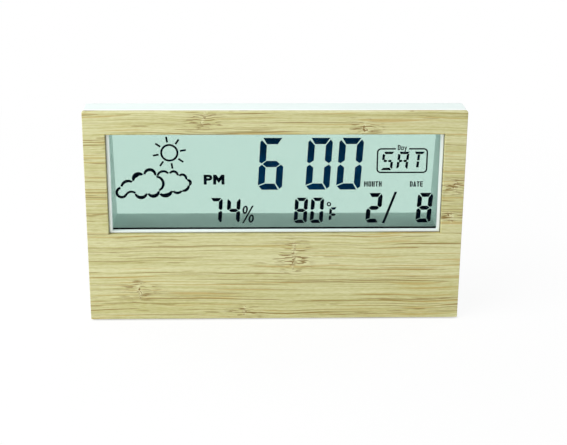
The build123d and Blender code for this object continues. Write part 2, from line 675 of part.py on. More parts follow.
def bay_rod(radius, up, x0, x1):
    """Cylinder along X on a cell's axis."""
    return REAR_FACE * Pos(-(x0 + x1) / 2, up, -CELL_SINK) * Rot(0, 90, 0) * Cylinder(radius, x1 - x0)


def cell(up, facing):
    """AAA cell whose positive end is towards +X or -X, as facing says."""
    tip = BAY_LENGTH / 2 - CONTACT_THICKNESS
    shoulder = tip - CELL_NUB_HEIGHT
    ends = sorted((facing * shoulder, facing * (tip - CELL_LENGTH)))
    can = bay_rod(CELL_DIAMETER / 2, up, *ends)
    can = fillet(can.edges().filter_by(GeomType.CIRCLE), 0.4)
    nub = bay_rod(CELL_NUB_DIAMETER / 2, up, *sorted((facing * (shoulder - 0.5), facing * tip)))
    return can + nub


def contact_plate(side, up0, up1):
    inner, outer = sorted((side * (BAY_LENGTH / 2 - CONTACT_THICKNESS), side * BAY_LENGTH / 2))
    half = CONTACT_WIDTH / 2
    return rear_block(inner, outer, up0, up1, -CELL_SINK - half, -CELL_SINK + half)


def terminal_plate(up):
    """Contact plate with a solder lug that passes out through the bay's end wall."""
    plate = contact_plate(-1, up - TERMINAL_HEIGHT / 2, up + TERMINAL_HEIGHT / 2)
    half, thick = LUG_WIDTH / 2, CONTACT_THICKNESS / 2
    end = -BAY_LENGTH / 2 + thick
    return plate + rear_block(-LUG_END, end, up - half, up + half, -LUG_SINK - thick, -LUG_SINK + thick)


def contact_spring(up, side):
    """Conical coil from a contact plate to a cell, as arcs that follow each other smoothly."""
    seat = BAY_LENGTH / 2 - CONTACT_THICKNESS - SPRING_WIRE / 2
    rise = SPRING_LENGTH - SPRING_WIRE
    wide, narrow = CELL_DIAMETER * 0.38, CELL_DIAMETER * 0.22
    total = 2 * math.pi * SPRING_TURNS

    def at(angle):
        share = angle / total
        radius = wide + (narrow - wide) * share
        across, deep = up + radius * math.cos(angle), -CELL_SINK + radius * math.sin(angle)
        return REAR_FACE.from_local_coords(Vector(-side * (seat - rise * share), across, deep))

    def heading(angle):
        return (at(angle + 1e-4) - at(angle - 1e-4)).normalized()

    arcs = []
    steps = 4 * SPRING_TURNS
    for k in range(steps):
        a, b = total * k / steps, total * (k + 1) / steps
        p, q, s, t = at(a), at(b), heading(a), heading(b)
        chord = q - p
        lean, bend = chord.dot(s + t), 2 * (1 - s.dot(t))
        reach = (-2 * lean + math.sqrt(4 * lean * lean + 4 * bend * chord.dot(chord))) / (2 * bend)
        near, far = p + s * reach, q - t * reach
        joint = (near + far) * 0.5
        arcs.append(TangentArc(p, joint, tangent=s))
        arcs.append(TangentArc(joint, q, tangent=(far - near).normalized()))
    near_turns = min((at(total * k / 90 + 2 * math.pi) - at(total * k / 90)).length for k in range(60))
    print(f"contact spring: least gap between turns {near_turns - SPRING_WIRE:.2f} mm")
    start = Plane(origin=at(0), z_dir=heading(0))
    return sweep(start * Circle(SPRING_WIRE / 2), path=Wire([a.edge() for a in arcs]))


def lead(up):
    """Insulated wire from a solder lug to its pad on the board."""
    start = REAR_FACE.from_local_coords(Vector(LUG_END, up, -LUG_SINK))
    corner, pad = (LEAD_X, start.Y, start.Z), (LEAD_X, BOARD_BACK, start.Z)
    path = FilletPolyline(start, corner, pad, radius=LEAD_BEND)
    return sweep(Plane(origin=start, z_dir=(-1, 0, 0)) * Circle(LEAD_DIAMETER / 2), path=path)


def battery_door():
    half, low, high = DOOR_WIDTH / 2, -DOOR_HEIGHT / 2, DOOR_HEIGHT / 2
    nose = DOOR_THICKNESS / 2
    door = round_top_corners(rear_block(-half, half, low + nose, high, -DOOR_THICKNESS, 0), DOOR_CORNER)
    door += REAR_FACE * Pos(0, low + nose, -nose) * Rot(0, 90, 0) * Cylinder(nose, DOOR_WIDTH)
    for x in (-DOOR_TAB_SPACING / 2, DOOR_TAB_SPACING / 2):
        x0, x1 = x - DOOR_TAB_WIDTH / 2, x + DOOR_TAB_WIDTH / 2
        tab_out = -WALL - 0.15
        tab_in = tab_out - DOOR_TAB_THICKNESS
        top = low + nose + DOOR_LEDGE
        door += rear_block(x0, x1, low + nose, top, tab_in, -DOOR_THICKNESS / 2)
        door += rear_block(x0, x1, low - DOOR_TAB_REACH, top, tab_in, tab_out)
    for x in (-DOOR_LATCH_WIDTH / 2, DOOR_LATCH_WIDTH / 2):
        slit, out = 1.5 * DOOR_GAP, 2 * DOOR_THICKNESS
        door -= rear_block(x - slit, x + slit, high - DOOR_LATCH_LENGTH, high + 1, -out, out)
    half, thick = DOOR_GRIP_WIDTH / 2, DOOR_GRIP_HEIGHT
    for step in range(1, 4):
        up = high - DOOR_GRIP_PITCH * step
        door += rear_block(-half, half, up - thick, up + thick, -thick, thick)
    return door


def save(name, pieces):
    solids = [s for p in pieces for s in p.solids()]
    export_step(solids[0] if len(solids) == 1 else Compound(solids), f"parts/{name}.step")


def main():
    os.makedirs("parts", exist_ok=True)
    up, side = CELL_RISE, BAY_HEIGHT / 2 - 0.3
    single = {
        "bamboo_panel": bamboo_panel(),
        "panel_adhesive": panel_adhesive(),
        "front_frame": front_frame(),
        "front_gasket": front_gasket(),
        "front_polariser": polariser(LCD_FRONT),
        "front_glass": slab(GLASS_HALF, FRONT_GLASS_BOTTOM, GLASS_TOP, GLASS_FRONT, GLASS_JOIN),
        "rear_glass": slab(GLASS_HALF, REAR_GLASS_BOTTOM, GLASS_TOP, GLASS_JOIN, GLASS_BACK),
        "rear_polariser": polariser(GLASS_BACK),
        "rear_gasket": rear_gasket(),
        "zebra_strip": zebra_strip(),
        "main_board": main_board(),
        "chip_blob": chip_blob(),
        "crystal": crystal(),
        "capacitor": capacitor(),
        "buzzer": buzzer(),
        "humidity_sensor": humidity_sensor(),
        "temperature_probe": temperature_probe(),
        "rear_housing": rear_housing(),
        "upper_cell": cell(up, 1),
        "lower_cell": cell(-up, -1),
        "series_contact": contact_plate(1, -side, side),
        "negative_contact": terminal_plate(up),
        "positive_contact": terminal_plate(-up),
        "negative_spring": contact_spring(up, -1),
        "series_spring": contact_spring(-up, 1),
        "negative_lead": lead(up),
        "positive_lead": lead(-up),
        "battery_door": battery_door(),
    }
    for name, place in BUTTON_PLACES.items():
        single[f"{name}_button"] = button(place)
        single[f"{name}_plunger"] = plunger(place)
    for name, piece in single.items():
        save(name, [piece])
    save("switch_bases", switch_bases())
    save("board_screws", board_screws())
    save("case_screws", case_screws())
    save("rubber_feet", rubber_feet())


main()
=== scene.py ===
"""Finishes, readouts and studio for a bamboo-fronted thermometer, hygrometer and clock."""

import json
import math

import bmesh
import bpy
from bpy.props import (
    BoolProperty, FloatProperty, FloatVectorProperty, IntProperty, PointerProperty, StringProperty,
)
from mathutils import Matrix, Vector


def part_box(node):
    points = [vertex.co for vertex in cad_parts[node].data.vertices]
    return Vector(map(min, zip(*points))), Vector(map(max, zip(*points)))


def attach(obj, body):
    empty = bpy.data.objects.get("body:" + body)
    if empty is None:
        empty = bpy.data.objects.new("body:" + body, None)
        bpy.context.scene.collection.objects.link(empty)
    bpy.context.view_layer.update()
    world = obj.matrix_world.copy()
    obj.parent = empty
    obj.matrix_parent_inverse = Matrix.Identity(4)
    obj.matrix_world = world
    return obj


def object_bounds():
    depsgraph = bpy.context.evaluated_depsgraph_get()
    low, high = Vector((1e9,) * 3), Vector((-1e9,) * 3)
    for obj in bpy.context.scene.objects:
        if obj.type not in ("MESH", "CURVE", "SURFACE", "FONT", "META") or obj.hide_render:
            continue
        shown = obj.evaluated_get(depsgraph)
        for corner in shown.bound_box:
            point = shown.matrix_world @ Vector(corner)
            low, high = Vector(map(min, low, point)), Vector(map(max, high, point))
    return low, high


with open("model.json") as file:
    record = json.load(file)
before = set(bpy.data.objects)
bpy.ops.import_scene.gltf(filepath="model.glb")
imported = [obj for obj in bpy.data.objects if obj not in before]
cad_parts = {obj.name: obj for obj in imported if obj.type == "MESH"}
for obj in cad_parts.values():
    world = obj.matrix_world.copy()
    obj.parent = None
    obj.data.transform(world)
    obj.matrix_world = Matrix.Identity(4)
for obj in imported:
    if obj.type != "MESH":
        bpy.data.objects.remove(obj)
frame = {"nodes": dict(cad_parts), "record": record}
CAD_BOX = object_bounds()

bl_info = {
    "name": "Bamboo climate clock",
    "version": (1, 0, 0),
    "blender": (4, 5, 0),
    "location": "3D View > Sidebar > Clock",
    "description": "Finishes and readouts of a bamboo-fronted desk clock with a see-through display",
    "category": "Object",
}

MM = 0.001
IMAGE_WIDTH = 567


def linear(hex_colour):
    """Linear colour from an sRGB hex value."""
    parts = [int(hex_colour[k : k + 2], 16) / 255 for k in (0, 2, 4)]
    return tuple(c / 12.92 if c <= 0.04045 else ((c + 0.055) / 1.055) ** 2.4 for c in parts) + (1.0,)


def grey(value):
    return (value, value, value, 1.0)


def shaded(colour, share):
    """The same colour with a share of its light."""
    return tuple(share * c for c in colour[:3]) + (1.0,)


def tint(name, description, hex_colour):
    """Colour property with its default as an sRGB hex value."""
    return FloatVectorProperty(
        name=name, description=description, subtype="COLOR", size=4, min=0, max=1, default=linear(hex_colour)
    )


# Properties


class ClockFinish(bpy.types.PropertyGroup):
    """Colours of the surfaces."""

    bamboo_light: tint("Bamboo, light", "Pale flesh between the fibres", "DEDCAF")
    bamboo_deep: tint("Bamboo, deep", "Deeper tone of the flesh", "ADA75D")
    bamboo_warm: tint("Bamboo, warm", "Warm bloom beside the fibres", "B8994A")
    bamboo_fibre: tint("Bamboo fibre", "Dark fibre bundles", "8B7230")
    bamboo_scar: tint("Bamboo scar", "Broken fibres at a knuckle", "82662A")
    white_plastic: tint("White plastic", "Moulded case", "E5F1EE")
    key_plastic: tint("Key plastic", "Moulded keys", "D0E2DE")
    film_tint: tint("Polariser tint", "Light that one face of the film lets through", "ECF5F2")
    segment_blue: tint("Driven crystal", "Dark segments of the time", "04355E")
    segment_black: tint("Driven crystal, deep", "Dark segments of the small readouts", "030F1E")


class ClockReadout(bpy.types.PropertyGroup):
    """What the display shows, and the size of its smallest marks."""

    hour: IntProperty(name="Hour", description="Hour on the display", default=6, min=1, max=12)
    minute: IntProperty(name="Minute", description="Minute on the display", default=0, min=0, max=59)
    afternoon: BoolProperty(name="Afternoon", description="Shows the afternoon mark", default=True)
    humidity: IntProperty(
        name="Humidity", description="Relative humidity in per cent", default=74, min=10, max=99
    )
    temperature: IntProperty(name="Temperature", description="Degrees Fahrenheit", default=80, min=10, max=99)
    weekday: StringProperty(name="Weekday", description="Three letters of the day", default="SAT", maxlen=3)
    month: IntProperty(name="Month", description="Month on the display", default=2, min=1, max=9)
    date: IntProperty(name="Date", description="Day of the month", default=8, min=1, max=9)
    slant: FloatProperty(
        name="Slant", description="Lean of the digits to the right", subtype="ANGLE",
        default=math.radians(3.2), min=0, max=0.35,
    )
    depth: FloatProperty(
        name="Layer", description="Thickness of the driven crystal layer", unit="LENGTH", default=0.03 * MM,
        min=0.005 * MM, max=0.1 * MM, precision=5,
    )
    ray_count: IntProperty(name="Sun rays", description="Rays round the sun", default=8, min=4, max=24)
    ray_length: FloatProperty(
        name="Ray length", description="Length of a sun ray", unit="LENGTH", default=2.2 * MM,
        min=0.5 * MM, max=5 * MM,
    )
    ray_width: FloatProperty(
        name="Ray width", description="Width of a sun ray", unit="LENGTH", default=0.72 * MM,
        min=0.1 * MM, max=2 * MM,
    )


class ClockStudio(bpy.types.PropertyGroup):
    """Camera, lamps and floor."""

    camera_place: FloatVectorProperty(
        name="Camera", description="Place of the camera", subtype="TRANSLATION", unit="LENGTH",
        default=(-0.0110, -0.4499, 0.1887),
    )
    camera_yaw: FloatProperty(
        name="Yaw", description="Turn of the camera to the right", subtype="ANGLE",
        default=math.radians(1.85),
    )
    camera_pitch: FloatProperty(
        name="Pitch", description="Tilt of the camera downwards", subtype="ANGLE",
        default=math.radians(18.96),
    )
    camera_roll: FloatProperty(
        name="Roll", description="Turn of the camera about its view", subtype="ANGLE",
        default=math.radians(0.38),
    )
    focal_pixels: FloatProperty(
        name="Focal length", description="Focal length in pixels of the image", default=1235.0, min=100.0,
    )
    ambient: FloatProperty(
        name="Ambient", description="Strength of the studio's even light", default=0.42, min=0.0, max=2.0,
    )
    overhead_watts: FloatProperty(
        name="Overhead", description="Power of the overhead softbox", unit="POWER", default=6.8, min=0.0,
    )
    front_watts: FloatProperty(
        name="Front", description="Power of the front softbox", unit="POWER", default=1.4, min=0.0,
    )
    rear_watts: FloatProperty(
        name="Rear", description="Power of each softbox behind the clock", unit="POWER", default=1.5, min=0.0,
    )
    floor_glow: FloatProperty(
        name="Floor glow", description="Share of the floor that shows as plain white", subtype="FACTOR",
        default=0.9, min=0.0, max=1.0,
    )


# Node trees


def add_node(tree, kind, inputs=None, stops=(), blend="LINEAR", out=0, **settings):
    """Adds a node with its settings; an input is a value, or the output socket to link to it.

    Stops of (position, colour) fill a colour ramp, with blend between them. Returns the output that out
    names, or all of the node's outputs where out is None.
    """
    node = tree.nodes.new(kind)
    for name, value in settings.items():
        setattr(node, name, value)
    for name, value in (inputs or {}).items():
        if isinstance(value, bpy.types.NodeSocket):
            tree.links.new(value, node.inputs[name])
        else:
            node.inputs[name].default_value = value
    if stops:
        band = node.color_ramp
        band.interpolation = blend
        while len(band.elements) < len(stops):
            band.elements.new(1.0)
        for element, (position, colour) in zip(band.elements, stops):
            element.position, element.color = position, colour
    return node.outputs if out is None else node.outputs[out]


def blank_material(name):
    """New material with an empty tree, and the object's own coordinates."""
    material = bpy.data.materials.new(name)
    material.use_nodes = True
    tree = material.node_tree
    tree.nodes.clear()
    return material, tree, add_node(tree, "ShaderNodeTexCoord", out="Object")


# Span of the slow clouding over moulded, plated and coated surfaces
CLOUD_MM = 14


def grained(name, light, dark, grain_mm, rough, relief_mm, stretch=(1, 1, 1), **fixed):
    """Material whose tone, roughness and relief follow one grain of a real size, under a slow clouding."""
    material, tree, place = blank_material(name)
    spread = add_node(tree, "ShaderNodeMapping", {"Vector": place, "Scale": stretch})
    grain = add_node(
        tree, "ShaderNodeTexNoise",
        {"Vector": spread, "Scale": 1 / (grain_mm * MM), "Detail": 3.0, "Roughness": 0.6},
    )
    cloud = add_node(
        tree, "ShaderNodeTexNoise", {"Vector": place, "Scale": 1 / (CLOUD_MM * MM), "Detail": 2.0}
    )
    mixed = add_node(tree, "ShaderNodeMix", {0: 0.5, 2: grain, 3: cloud})
    tone = add_node(tree, "ShaderNodeValToRGB", {"Fac": mixed}, [(0.35, dark), (0.65, light)])
    gloss = add_node(
        tree, "ShaderNodeMapRange",
        {"Value": mixed, "From Min": 0.3, "From Max": 0.7, "To Min": rough[0], "To Max": rough[1]},
    )
    bump = add_node(tree, "ShaderNodeBump", {"Height": grain, "Strength": 0.5, "Distance": relief_mm * MM})
    surface = {"Base Color": tone, "Roughness": gloss, "Normal": bump, **fixed}
    shader = add_node(tree, "ShaderNodeBsdfPrincipled", surface)
    add_node(tree, "ShaderNodeOutputMaterial", {"Surface": shader}, out=None)
    return material


# Bamboo strips: the height that their ramps span, the joints between them and half a glue line in mm, then
# each strip's tone from the bottom up, and the metres by which that tone shifts its run of fibres
STRIP_SPAN, GLUE_HALF = 100, 0.2
STRIP_JOINTS = (16.6, 34.7, 55.6, 77.2)
STRIP_TONES = (0.30, 0.62, 0.44, 0.70, 0.52)
STRIP_SHIFT = 0.9

# Bamboo knuckles in mm as (x, z, half height), with half the width of their patch and of their scar, the
# scar's share of the height, and the grain and reach of their ragged edge
KNUCKLES = (
    (-26.3, 78.6, 3.8),
    (32.4, 75.4, 3.4),
    (7.0, 25.8, 8.8),
    (-51.1, 12.2, 4.8),
    (-11.4, 3.2, 3.6),
    (66.8, 53.2, 4.4),
    (65.6, 41.2, 2.6),
)
PATCH_HALF, SCAR_HALF, SCAR_SHARE = 9.0, 1.0, 0.8
RAGGED_GRAIN, RAGGED_REACH = 3, 5

# Bamboo grain at eight sizes: length along the fibre and width across it in mm, detail of the noise, the band
# of its values that shows, and how strongly
GRAIN = (
    ("broad", 90, 5.0, 1.0, 0.3, 0.7, 1.0),
    ("fine", 60, 0.5, 1.0, 0.28, 0.64, 1.0),
    ("pore", 2.4, 0.42, 1.5, 0.34, 0.66, 1.0),
    ("warm", 44, 0.8, 1.0, 0.6, 0.68, 0.6),
    ("long", 64, 0.46, 1.0, 0.72, 0.765, 0.85),
    ("short", 14, 0.42, 1.0, 0.77, 0.81, 0.85),
    ("dash", 5.0, 0.42, 1.0, 0.55, 0.59, 0.9),
    ("pit", 0.9, 0.8, 1.0, 0.54, 0.62, 1.0),
)
# The depth of that grain in mm, how strongly dark fibres crowd, and how far the fibres wander as (span,
# reach) in mm, over the panel and at a knuckle
GRAIN_DEPTH, CROWDING = 4.0, 0.16
PANEL_WANDER, KNUCKLE_WANDER = (40, 1.5), (7, 0.8)


def bamboo_material(finish):
    """Flat-pressed bamboo strips under matt lacquer: pale flesh, long dark fibres and a few knuckles."""
    material, tree, place = blank_material("bamboo_flat_pressed_lacquered")
    axes = add_node(tree, "ShaderNodeSeparateXYZ", {"Vector": place}, out=None)

    # Each strip has its own tone and its own run of fibres, and a thin glue line below it
    height = add_node(tree, "ShaderNodeMath", {0: axes["Z"], 1: 1 / (STRIP_SPAN * MM)}, operation="MULTIPLY")
    stops = [(level / STRIP_SPAN, grey(tone)) for level, tone in zip((0.0,) + STRIP_JOINTS, STRIP_TONES)]
    strip = add_node(tree, "ShaderNodeValToRGB", {"Fac": height}, stops, "CONSTANT")
    stops = [(0.0, grey(0))]
    for level in STRIP_JOINTS:
        for side, value in ((-1, 0), (0, 1), (1, 0)):
            stops.append(((level + side * GLUE_HALF) / STRIP_SPAN, grey(value)))
    glue = add_node(tree, "ShaderNodeValToRGB", {"Fac": height}, stops)

    # Knuckles: a wide patch where the fibres break up, and a narrow scar across its middle
    ragged = {"Vector": place, "Scale": 1 / (RAGGED_GRAIN * MM), "Detail": 2.0}
    blur = add_node(tree, "ShaderNodeTexNoise", ragged, out="Color")
    blur = add_node(tree, "ShaderNodeVectorMath", {0: blur, 1: (0.5, 0.5, 0.5)}, operation="SUBTRACT")
    blur = add_node(tree, "ShaderNodeVectorMath", {0: blur, "Scale": RAGGED_REACH * MM}, operation="SCALE")
    rough_place = add_node(tree, "ShaderNodeVectorMath", {0: place, 1: blur}, operation="ADD")
    patch = scar = 0.0
    for x, z, half in KNUCKLES:
        offset = add_node(
            tree, "ShaderNodeVectorMath", {0: rough_place, 1: (x * MM, 0, z * MM)}, operation="SUBTRACT"
        )
        near = []
        for wide, tall in ((PATCH_HALF, half), (SCAR_HALF, SCAR_SHARE * half)):
            size = (1 / (wide * MM), 0, 1 / (tall * MM))
            scaled = add_node(tree, "ShaderNodeVectorMath", {0: offset, 1: size}, operation="MULTIPLY")
            reach = add_node(tree, "ShaderNodeVectorMath", {0: scaled}, operation="LENGTH", out="Value")
            near.append(add_node(
                tree, "ShaderNodeMapRange", {"Value": reach, "From Min": 1.2, "From Max": 0.3},
                interpolation_type="SMOOTHSTEP",
            ))
        patch = add_node(tree, "ShaderNodeMath", {0: near[0], 1: patch}, operation="MAXIMUM")
        scar = add_node(tree, "ShaderNodeMath", {0: near[1], 1: scar}, operation="MAXIMUM")

    # The fibres wander by about a millimetre over the panel, and sharply at a knuckle
    drift = []
    for span, reach in (PANEL_WANDER, KNUCKLE_WANDER):
        noise = add_node(
            tree, "ShaderNodeTexNoise", {"Vector": place, "Scale": 1 / (span * MM), "Detail": 1.0}
        )
        ends = {"To Min": -reach * MM, "To Max": reach * MM}
        drift.append(add_node(tree, "ShaderNodeMapRange", {"Value": noise, **ends}))
    slow, quick = drift
    shift = add_node(tree, "ShaderNodeMath", {0: quick, 1: patch, 2: slow}, operation="MULTIPLY_ADD")
    along = add_node(
        tree, "ShaderNodeMath", {0: strip, 1: STRIP_SHIFT, 2: axes["X"]}, operation="MULTIPLY_ADD"
    )
    across = add_node(tree, "ShaderNodeMath", {0: axes["Z"], 1: shift}, operation="ADD")
    run = add_node(tree, "ShaderNodeCombineXYZ", {"X": along, "Y": axes["Y"], "Z": across})

    layers = {}
    for name, length, width, detail, low, high, most in GRAIN:
        scale = (1 / (length * MM), 1 / (GRAIN_DEPTH * MM), 1 / (width * MM))
        spread = add_node(tree, "ShaderNodeMapping", {"Vector": run, "Scale": scale})
        noise = add_node(
            tree, "ShaderNodeTexNoise", {"Vector": spread, "Scale": 1.0, "Detail": detail, "Roughness": 0.65}
        )
        if name in ("long", "short"):
            # Dark fibres keep company: they crowd where the broad tone is low
            noise = add_node(
                tree, "ShaderNodeMath", {0: layers["broad"], 1: -CROWDING, 2: noise}, operation="MULTIPLY_ADD"
            )
            noise = add_node(tree, "ShaderNodeMath", {0: noise, 1: CROWDING}, operation="ADD")
        layers[name] = add_node(
            tree, "ShaderNodeMapRange", {"Value": noise, "From Min": low, "From Max": high, "To Max": most}
        )
    dash = add_node(tree, "ShaderNodeMath", {0: layers["dash"], 1: patch}, operation="MULTIPLY")
    pit = add_node(tree, "ShaderNodeMath", {0: layers["pit"], 1: scar}, operation="MULTIPLY")
    broken = add_node(tree, "ShaderNodeMath", {0: dash, 1: pit}, operation="MAXIMUM")
    streak = add_node(tree, "ShaderNodeMath", {0: layers["long"], 1: layers["short"]}, operation="MAXIMUM")

    flesh = add_node(tree, "ShaderNodeMix", {0: 0.34, 2: layers["fine"], 3: layers["pore"]})
    flesh = add_node(tree, "ShaderNodeMix", {0: 0.2, 2: flesh, 3: layers["broad"]})
    flesh = add_node(tree, "ShaderNodeMix", {0: 0.2, 2: flesh, 3: strip})
    seam = add_node(tree, "ShaderNodeMath", {0: glue, 1: layers["fine"]}, operation="MULTIPLY")
    bloom = add_node(tree, "ShaderNodeMath", {0: scar, 1: 0.6}, operation="MULTIPLY")
    colour = finish.bamboo_deep
    for share, tone in (
        (flesh, finish.bamboo_light), (layers["warm"], finish.bamboo_warm), (bloom, finish.bamboo_light),
        (streak, finish.bamboo_fibre), (seam, finish.bamboo_fibre), (broken, finish.bamboo_scar),
    ):
        colour = add_node(tree, "ShaderNodeMix", {0: share, 6: colour, 7: tone}, data_type="RGBA", out=2)

    dents = add_node(
        tree, "ShaderNodeMath", {0: streak, 1: -0.6, 2: layers["fine"]}, operation="MULTIPLY_ADD"
    )
    dents = add_node(tree, "ShaderNodeMath", {0: broken, 1: -0.4, 2: dents}, operation="MULTIPLY_ADD")
    bump = add_node(tree, "ShaderNodeBump", {"Height": dents, "Strength": 0.4, "Distance": 0.05 * MM})
    gloss = add_node(
        tree, "ShaderNodeMapRange", {"Value": dents, "From Min": -0.6, "To Min": 0.6, "To Max": 0.42}
    )
    surface = {"Base Color": colour, "Roughness": gloss, "Normal": bump, "IOR": 1.45}
    shader = add_node(tree, "ShaderNodeBsdfPrincipled", surface)
    add_node(tree, "ShaderNodeOutputMaterial", {"Surface": shader}, out=None)
    return material


def clear_sheet(name, passed, sheen, rough):
    """Clear laminated sheet: a tint without refraction, and gloss that grows towards a grazing view."""
    material, tree, place = blank_material(name)
    haze = add_node(tree, "ShaderNodeTexNoise", {"Vector": place, "Scale": 1 / (9 * MM), "Detail": 4.0})
    gloss = add_node(
        tree, "ShaderNodeMapRange",
        {"Value": haze, "From Min": 0.3, "From Max": 0.7, "To Min": rough[0], "To Max": rough[1]},
    )
    facing = add_node(tree, "ShaderNodeLayerWeight", {"Blend": 0.5}, out="Facing")
    edge = add_node(tree, "ShaderNodeMath", {0: facing, 1: 5.0}, operation="POWER")
    share = add_node(tree, "ShaderNodeMapRange", {"Value": edge, "To Min": sheen, "To Max": 0.6})
    through = add_node(tree, "ShaderNodeBsdfTransparent", {"Color": passed})
    mirror = add_node(tree, "ShaderNodeBsdfGlossy", {"Color": grey(1), "Roughness": gloss})
    shader = add_node(tree, "ShaderNodeMixShader", {0: share, 1: through, 2: mirror})
    add_node(tree, "ShaderNodeOutputMaterial", {"Surface": shader}, out=None)
    return material


def cell_material(name, stops, low, high):
    """Cell in bands along x, from low to high in metres, with stops of (position, colour, metallic)."""
    material, tree, place = blank_material(name)
    at = add_node(tree, "ShaderNodeSeparateXYZ", {"Vector": place}, out="X")
    share = add_node(tree, "ShaderNodeMapRange", {"Value": at, "From Min": low, "From Max": high})
    tones, metals = [(p, c) for p, c, _ in stops], [(p, grey(m)) for p, _, m in stops]
    tone = add_node(tree, "ShaderNodeValToRGB", {"Fac": share}, tones, "CONSTANT")
    metal = add_node(tree, "ShaderNodeValToRGB", {"Fac": share}, metals, "CONSTANT")
    wear = add_node(tree, "ShaderNodeTexNoise", {"Vector": place, "Scale": 1 / (1.5 * MM), "Detail": 3.0})
    gloss = add_node(tree, "ShaderNodeMapRange", {"Value": wear, "To Min": 0.24, "To Max": 0.4})
    bump = add_node(tree, "ShaderNodeBump", {"Height": wear, "Strength": 0.3, "Distance": 0.02 * MM})
    surface = {"Base Color": tone, "Metallic": metal, "Roughness": gloss, "Normal": bump}
    shader = add_node(tree, "ShaderNodeBsdfPrincipled", surface)
    add_node(tree, "ShaderNodeOutputMaterial", {"Surface": shader}, out=None)
    return material


def crystal_material(name, colour):
    """Liquid crystal that is driven dark: an ink-like tone, faintly uneven, without a shine of its own."""
    material, tree, place = blank_material(name)
    uneven = add_node(tree, "ShaderNodeTexNoise", {"Vector": place, "Scale": 1 / (6 * MM), "Detail": 2.0})
    stops = [(0.3, shaded(colour, 0.6)), (0.7, tuple(colour))]
    tone = add_node(tree, "ShaderNodeValToRGB", {"Fac": uneven}, stops)
    gloss = add_node(tree, "ShaderNodeMapRange", {"Value": uneven, "To Min": 0.6, "To Max": 0.8})
    bump = add_node(tree, "ShaderNodeBump", {"Height": uneven, "Strength": 0.1, "Distance": 0.01 * MM})
    surface = {"Base Color": tone, "Roughness": gloss, "Normal": bump, "Specular IOR Level": 0.0}
    shader = add_node(tree, "ShaderNodeBsdfPrincipled", surface)
    add_node(tree, "ShaderNodeOutputMaterial", {"Surface": shader}, out=None)
    return material


def shared_crystal(name, colour):
    """A crystal tone that several readouts share, made once."""
    return bpy.data.materials.get(name) or crystal_material(name, colour)


def paint(node, material):
    """Gives a CAD node its one material."""
    slots = frame["nodes"][node].data.materials
    slots.clear()
    slots.append(material)


def dress(material, *slots):
    """Gives a material to every CAD node of the record's material slots."""
    nodes = [s["node"] for s in frame["record"]["subparts"] if s["material_slot"] in slots]
    if not nodes:
        raise RuntimeError(f"no CAD node takes its finish from {slots}")
    for node in nodes:
        paint(node, material)


# Display geometry


class DisplaySheet:
    """Collects flat shapes on the display's crystal layer, as closed plates; places are (x, z) in mm."""

    def __init__(self, depth):
        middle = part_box("front_glass")[1].y
        self.near, self.far = middle - depth / 2, middle + depth / 2
        self.bm = bmesh.new()

    def corners(self, outline):
        """New vertices on the layer's two faces."""
        near = [self.bm.verts.new((x * MM, self.near, z * MM)) for x, z in outline]
        far = [self.bm.verts.new((x * MM, self.far, z * MM)) for x, z in outline]
        return near, far

    def plate(self, outline):
        """Plate with the given outline."""
        near, far = self.corners(outline)
        self.bm.faces.new(near)
        self.bm.faces.new(far[::-1])
        for k in range(len(near)):
            n = (k + 1) % len(near)
            self.bm.faces.new((near[k], far[k], far[n], near[n]))

    def stroke(self, outer, inner, closed=False):
        """Stroke between two lines with the same number of points."""
        near_a, far_a = self.corners(outer)
        near_b, far_b = self.corners(inner)
        count = len(outer)
        for k in range(count if closed else count - 1):
            n = (k + 1) % count
            self.bm.faces.new((near_a[k], near_a[n], near_b[n], near_b[k]))
            self.bm.faces.new((far_a[k], far_b[k], far_b[n], far_a[n]))
            self.bm.faces.new((near_a[k], far_a[k], far_a[n], near_a[n]))
            self.bm.faces.new((near_b[k], near_b[n], far_b[n], far_b[k]))
        if not closed:
            for k in (0, count - 1):
                self.bm.faces.new((near_a[k], near_b[k], far_b[k], far_a[k]))

    def finish(self, name, material):
        """Turns the shapes into a piece that rides on the case."""
        bmesh.ops.recalc_face_normals(self.bm, faces=self.bm.faces)
        mesh = bpy.data.meshes.new(name)
        self.bm.to_mesh(mesh)
        self.bm.free()
        mesh.materials.append(material)
        piece = bpy.data.objects.new(name, mesh)
        bpy.context.scene.collection.objects.link(piece)
        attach(piece, "case")


SEVEN = {
    "0": "abcdef", "1": "bc", "2": "abged", "3": "abgcd", "4": "fgbc", "5": "afgcd",
    "6": "afgecd", "7": "abc", "8": "abcdefg", "9": "abcdfg", "F": "afge",
}
FOURTEEN = {
    "A": "abcefgn", "D": "abcdil", "E": "adefgn", "F": "aefgn", "H": "bcefgn", "I": "adil", "M": "bcefhj",
    "N": "bcefhm", "O": "abcdef", "R": "abefgnm", "S": "afgncd", "T": "ail", "U": "bcdef", "W": "bcefkm",
}


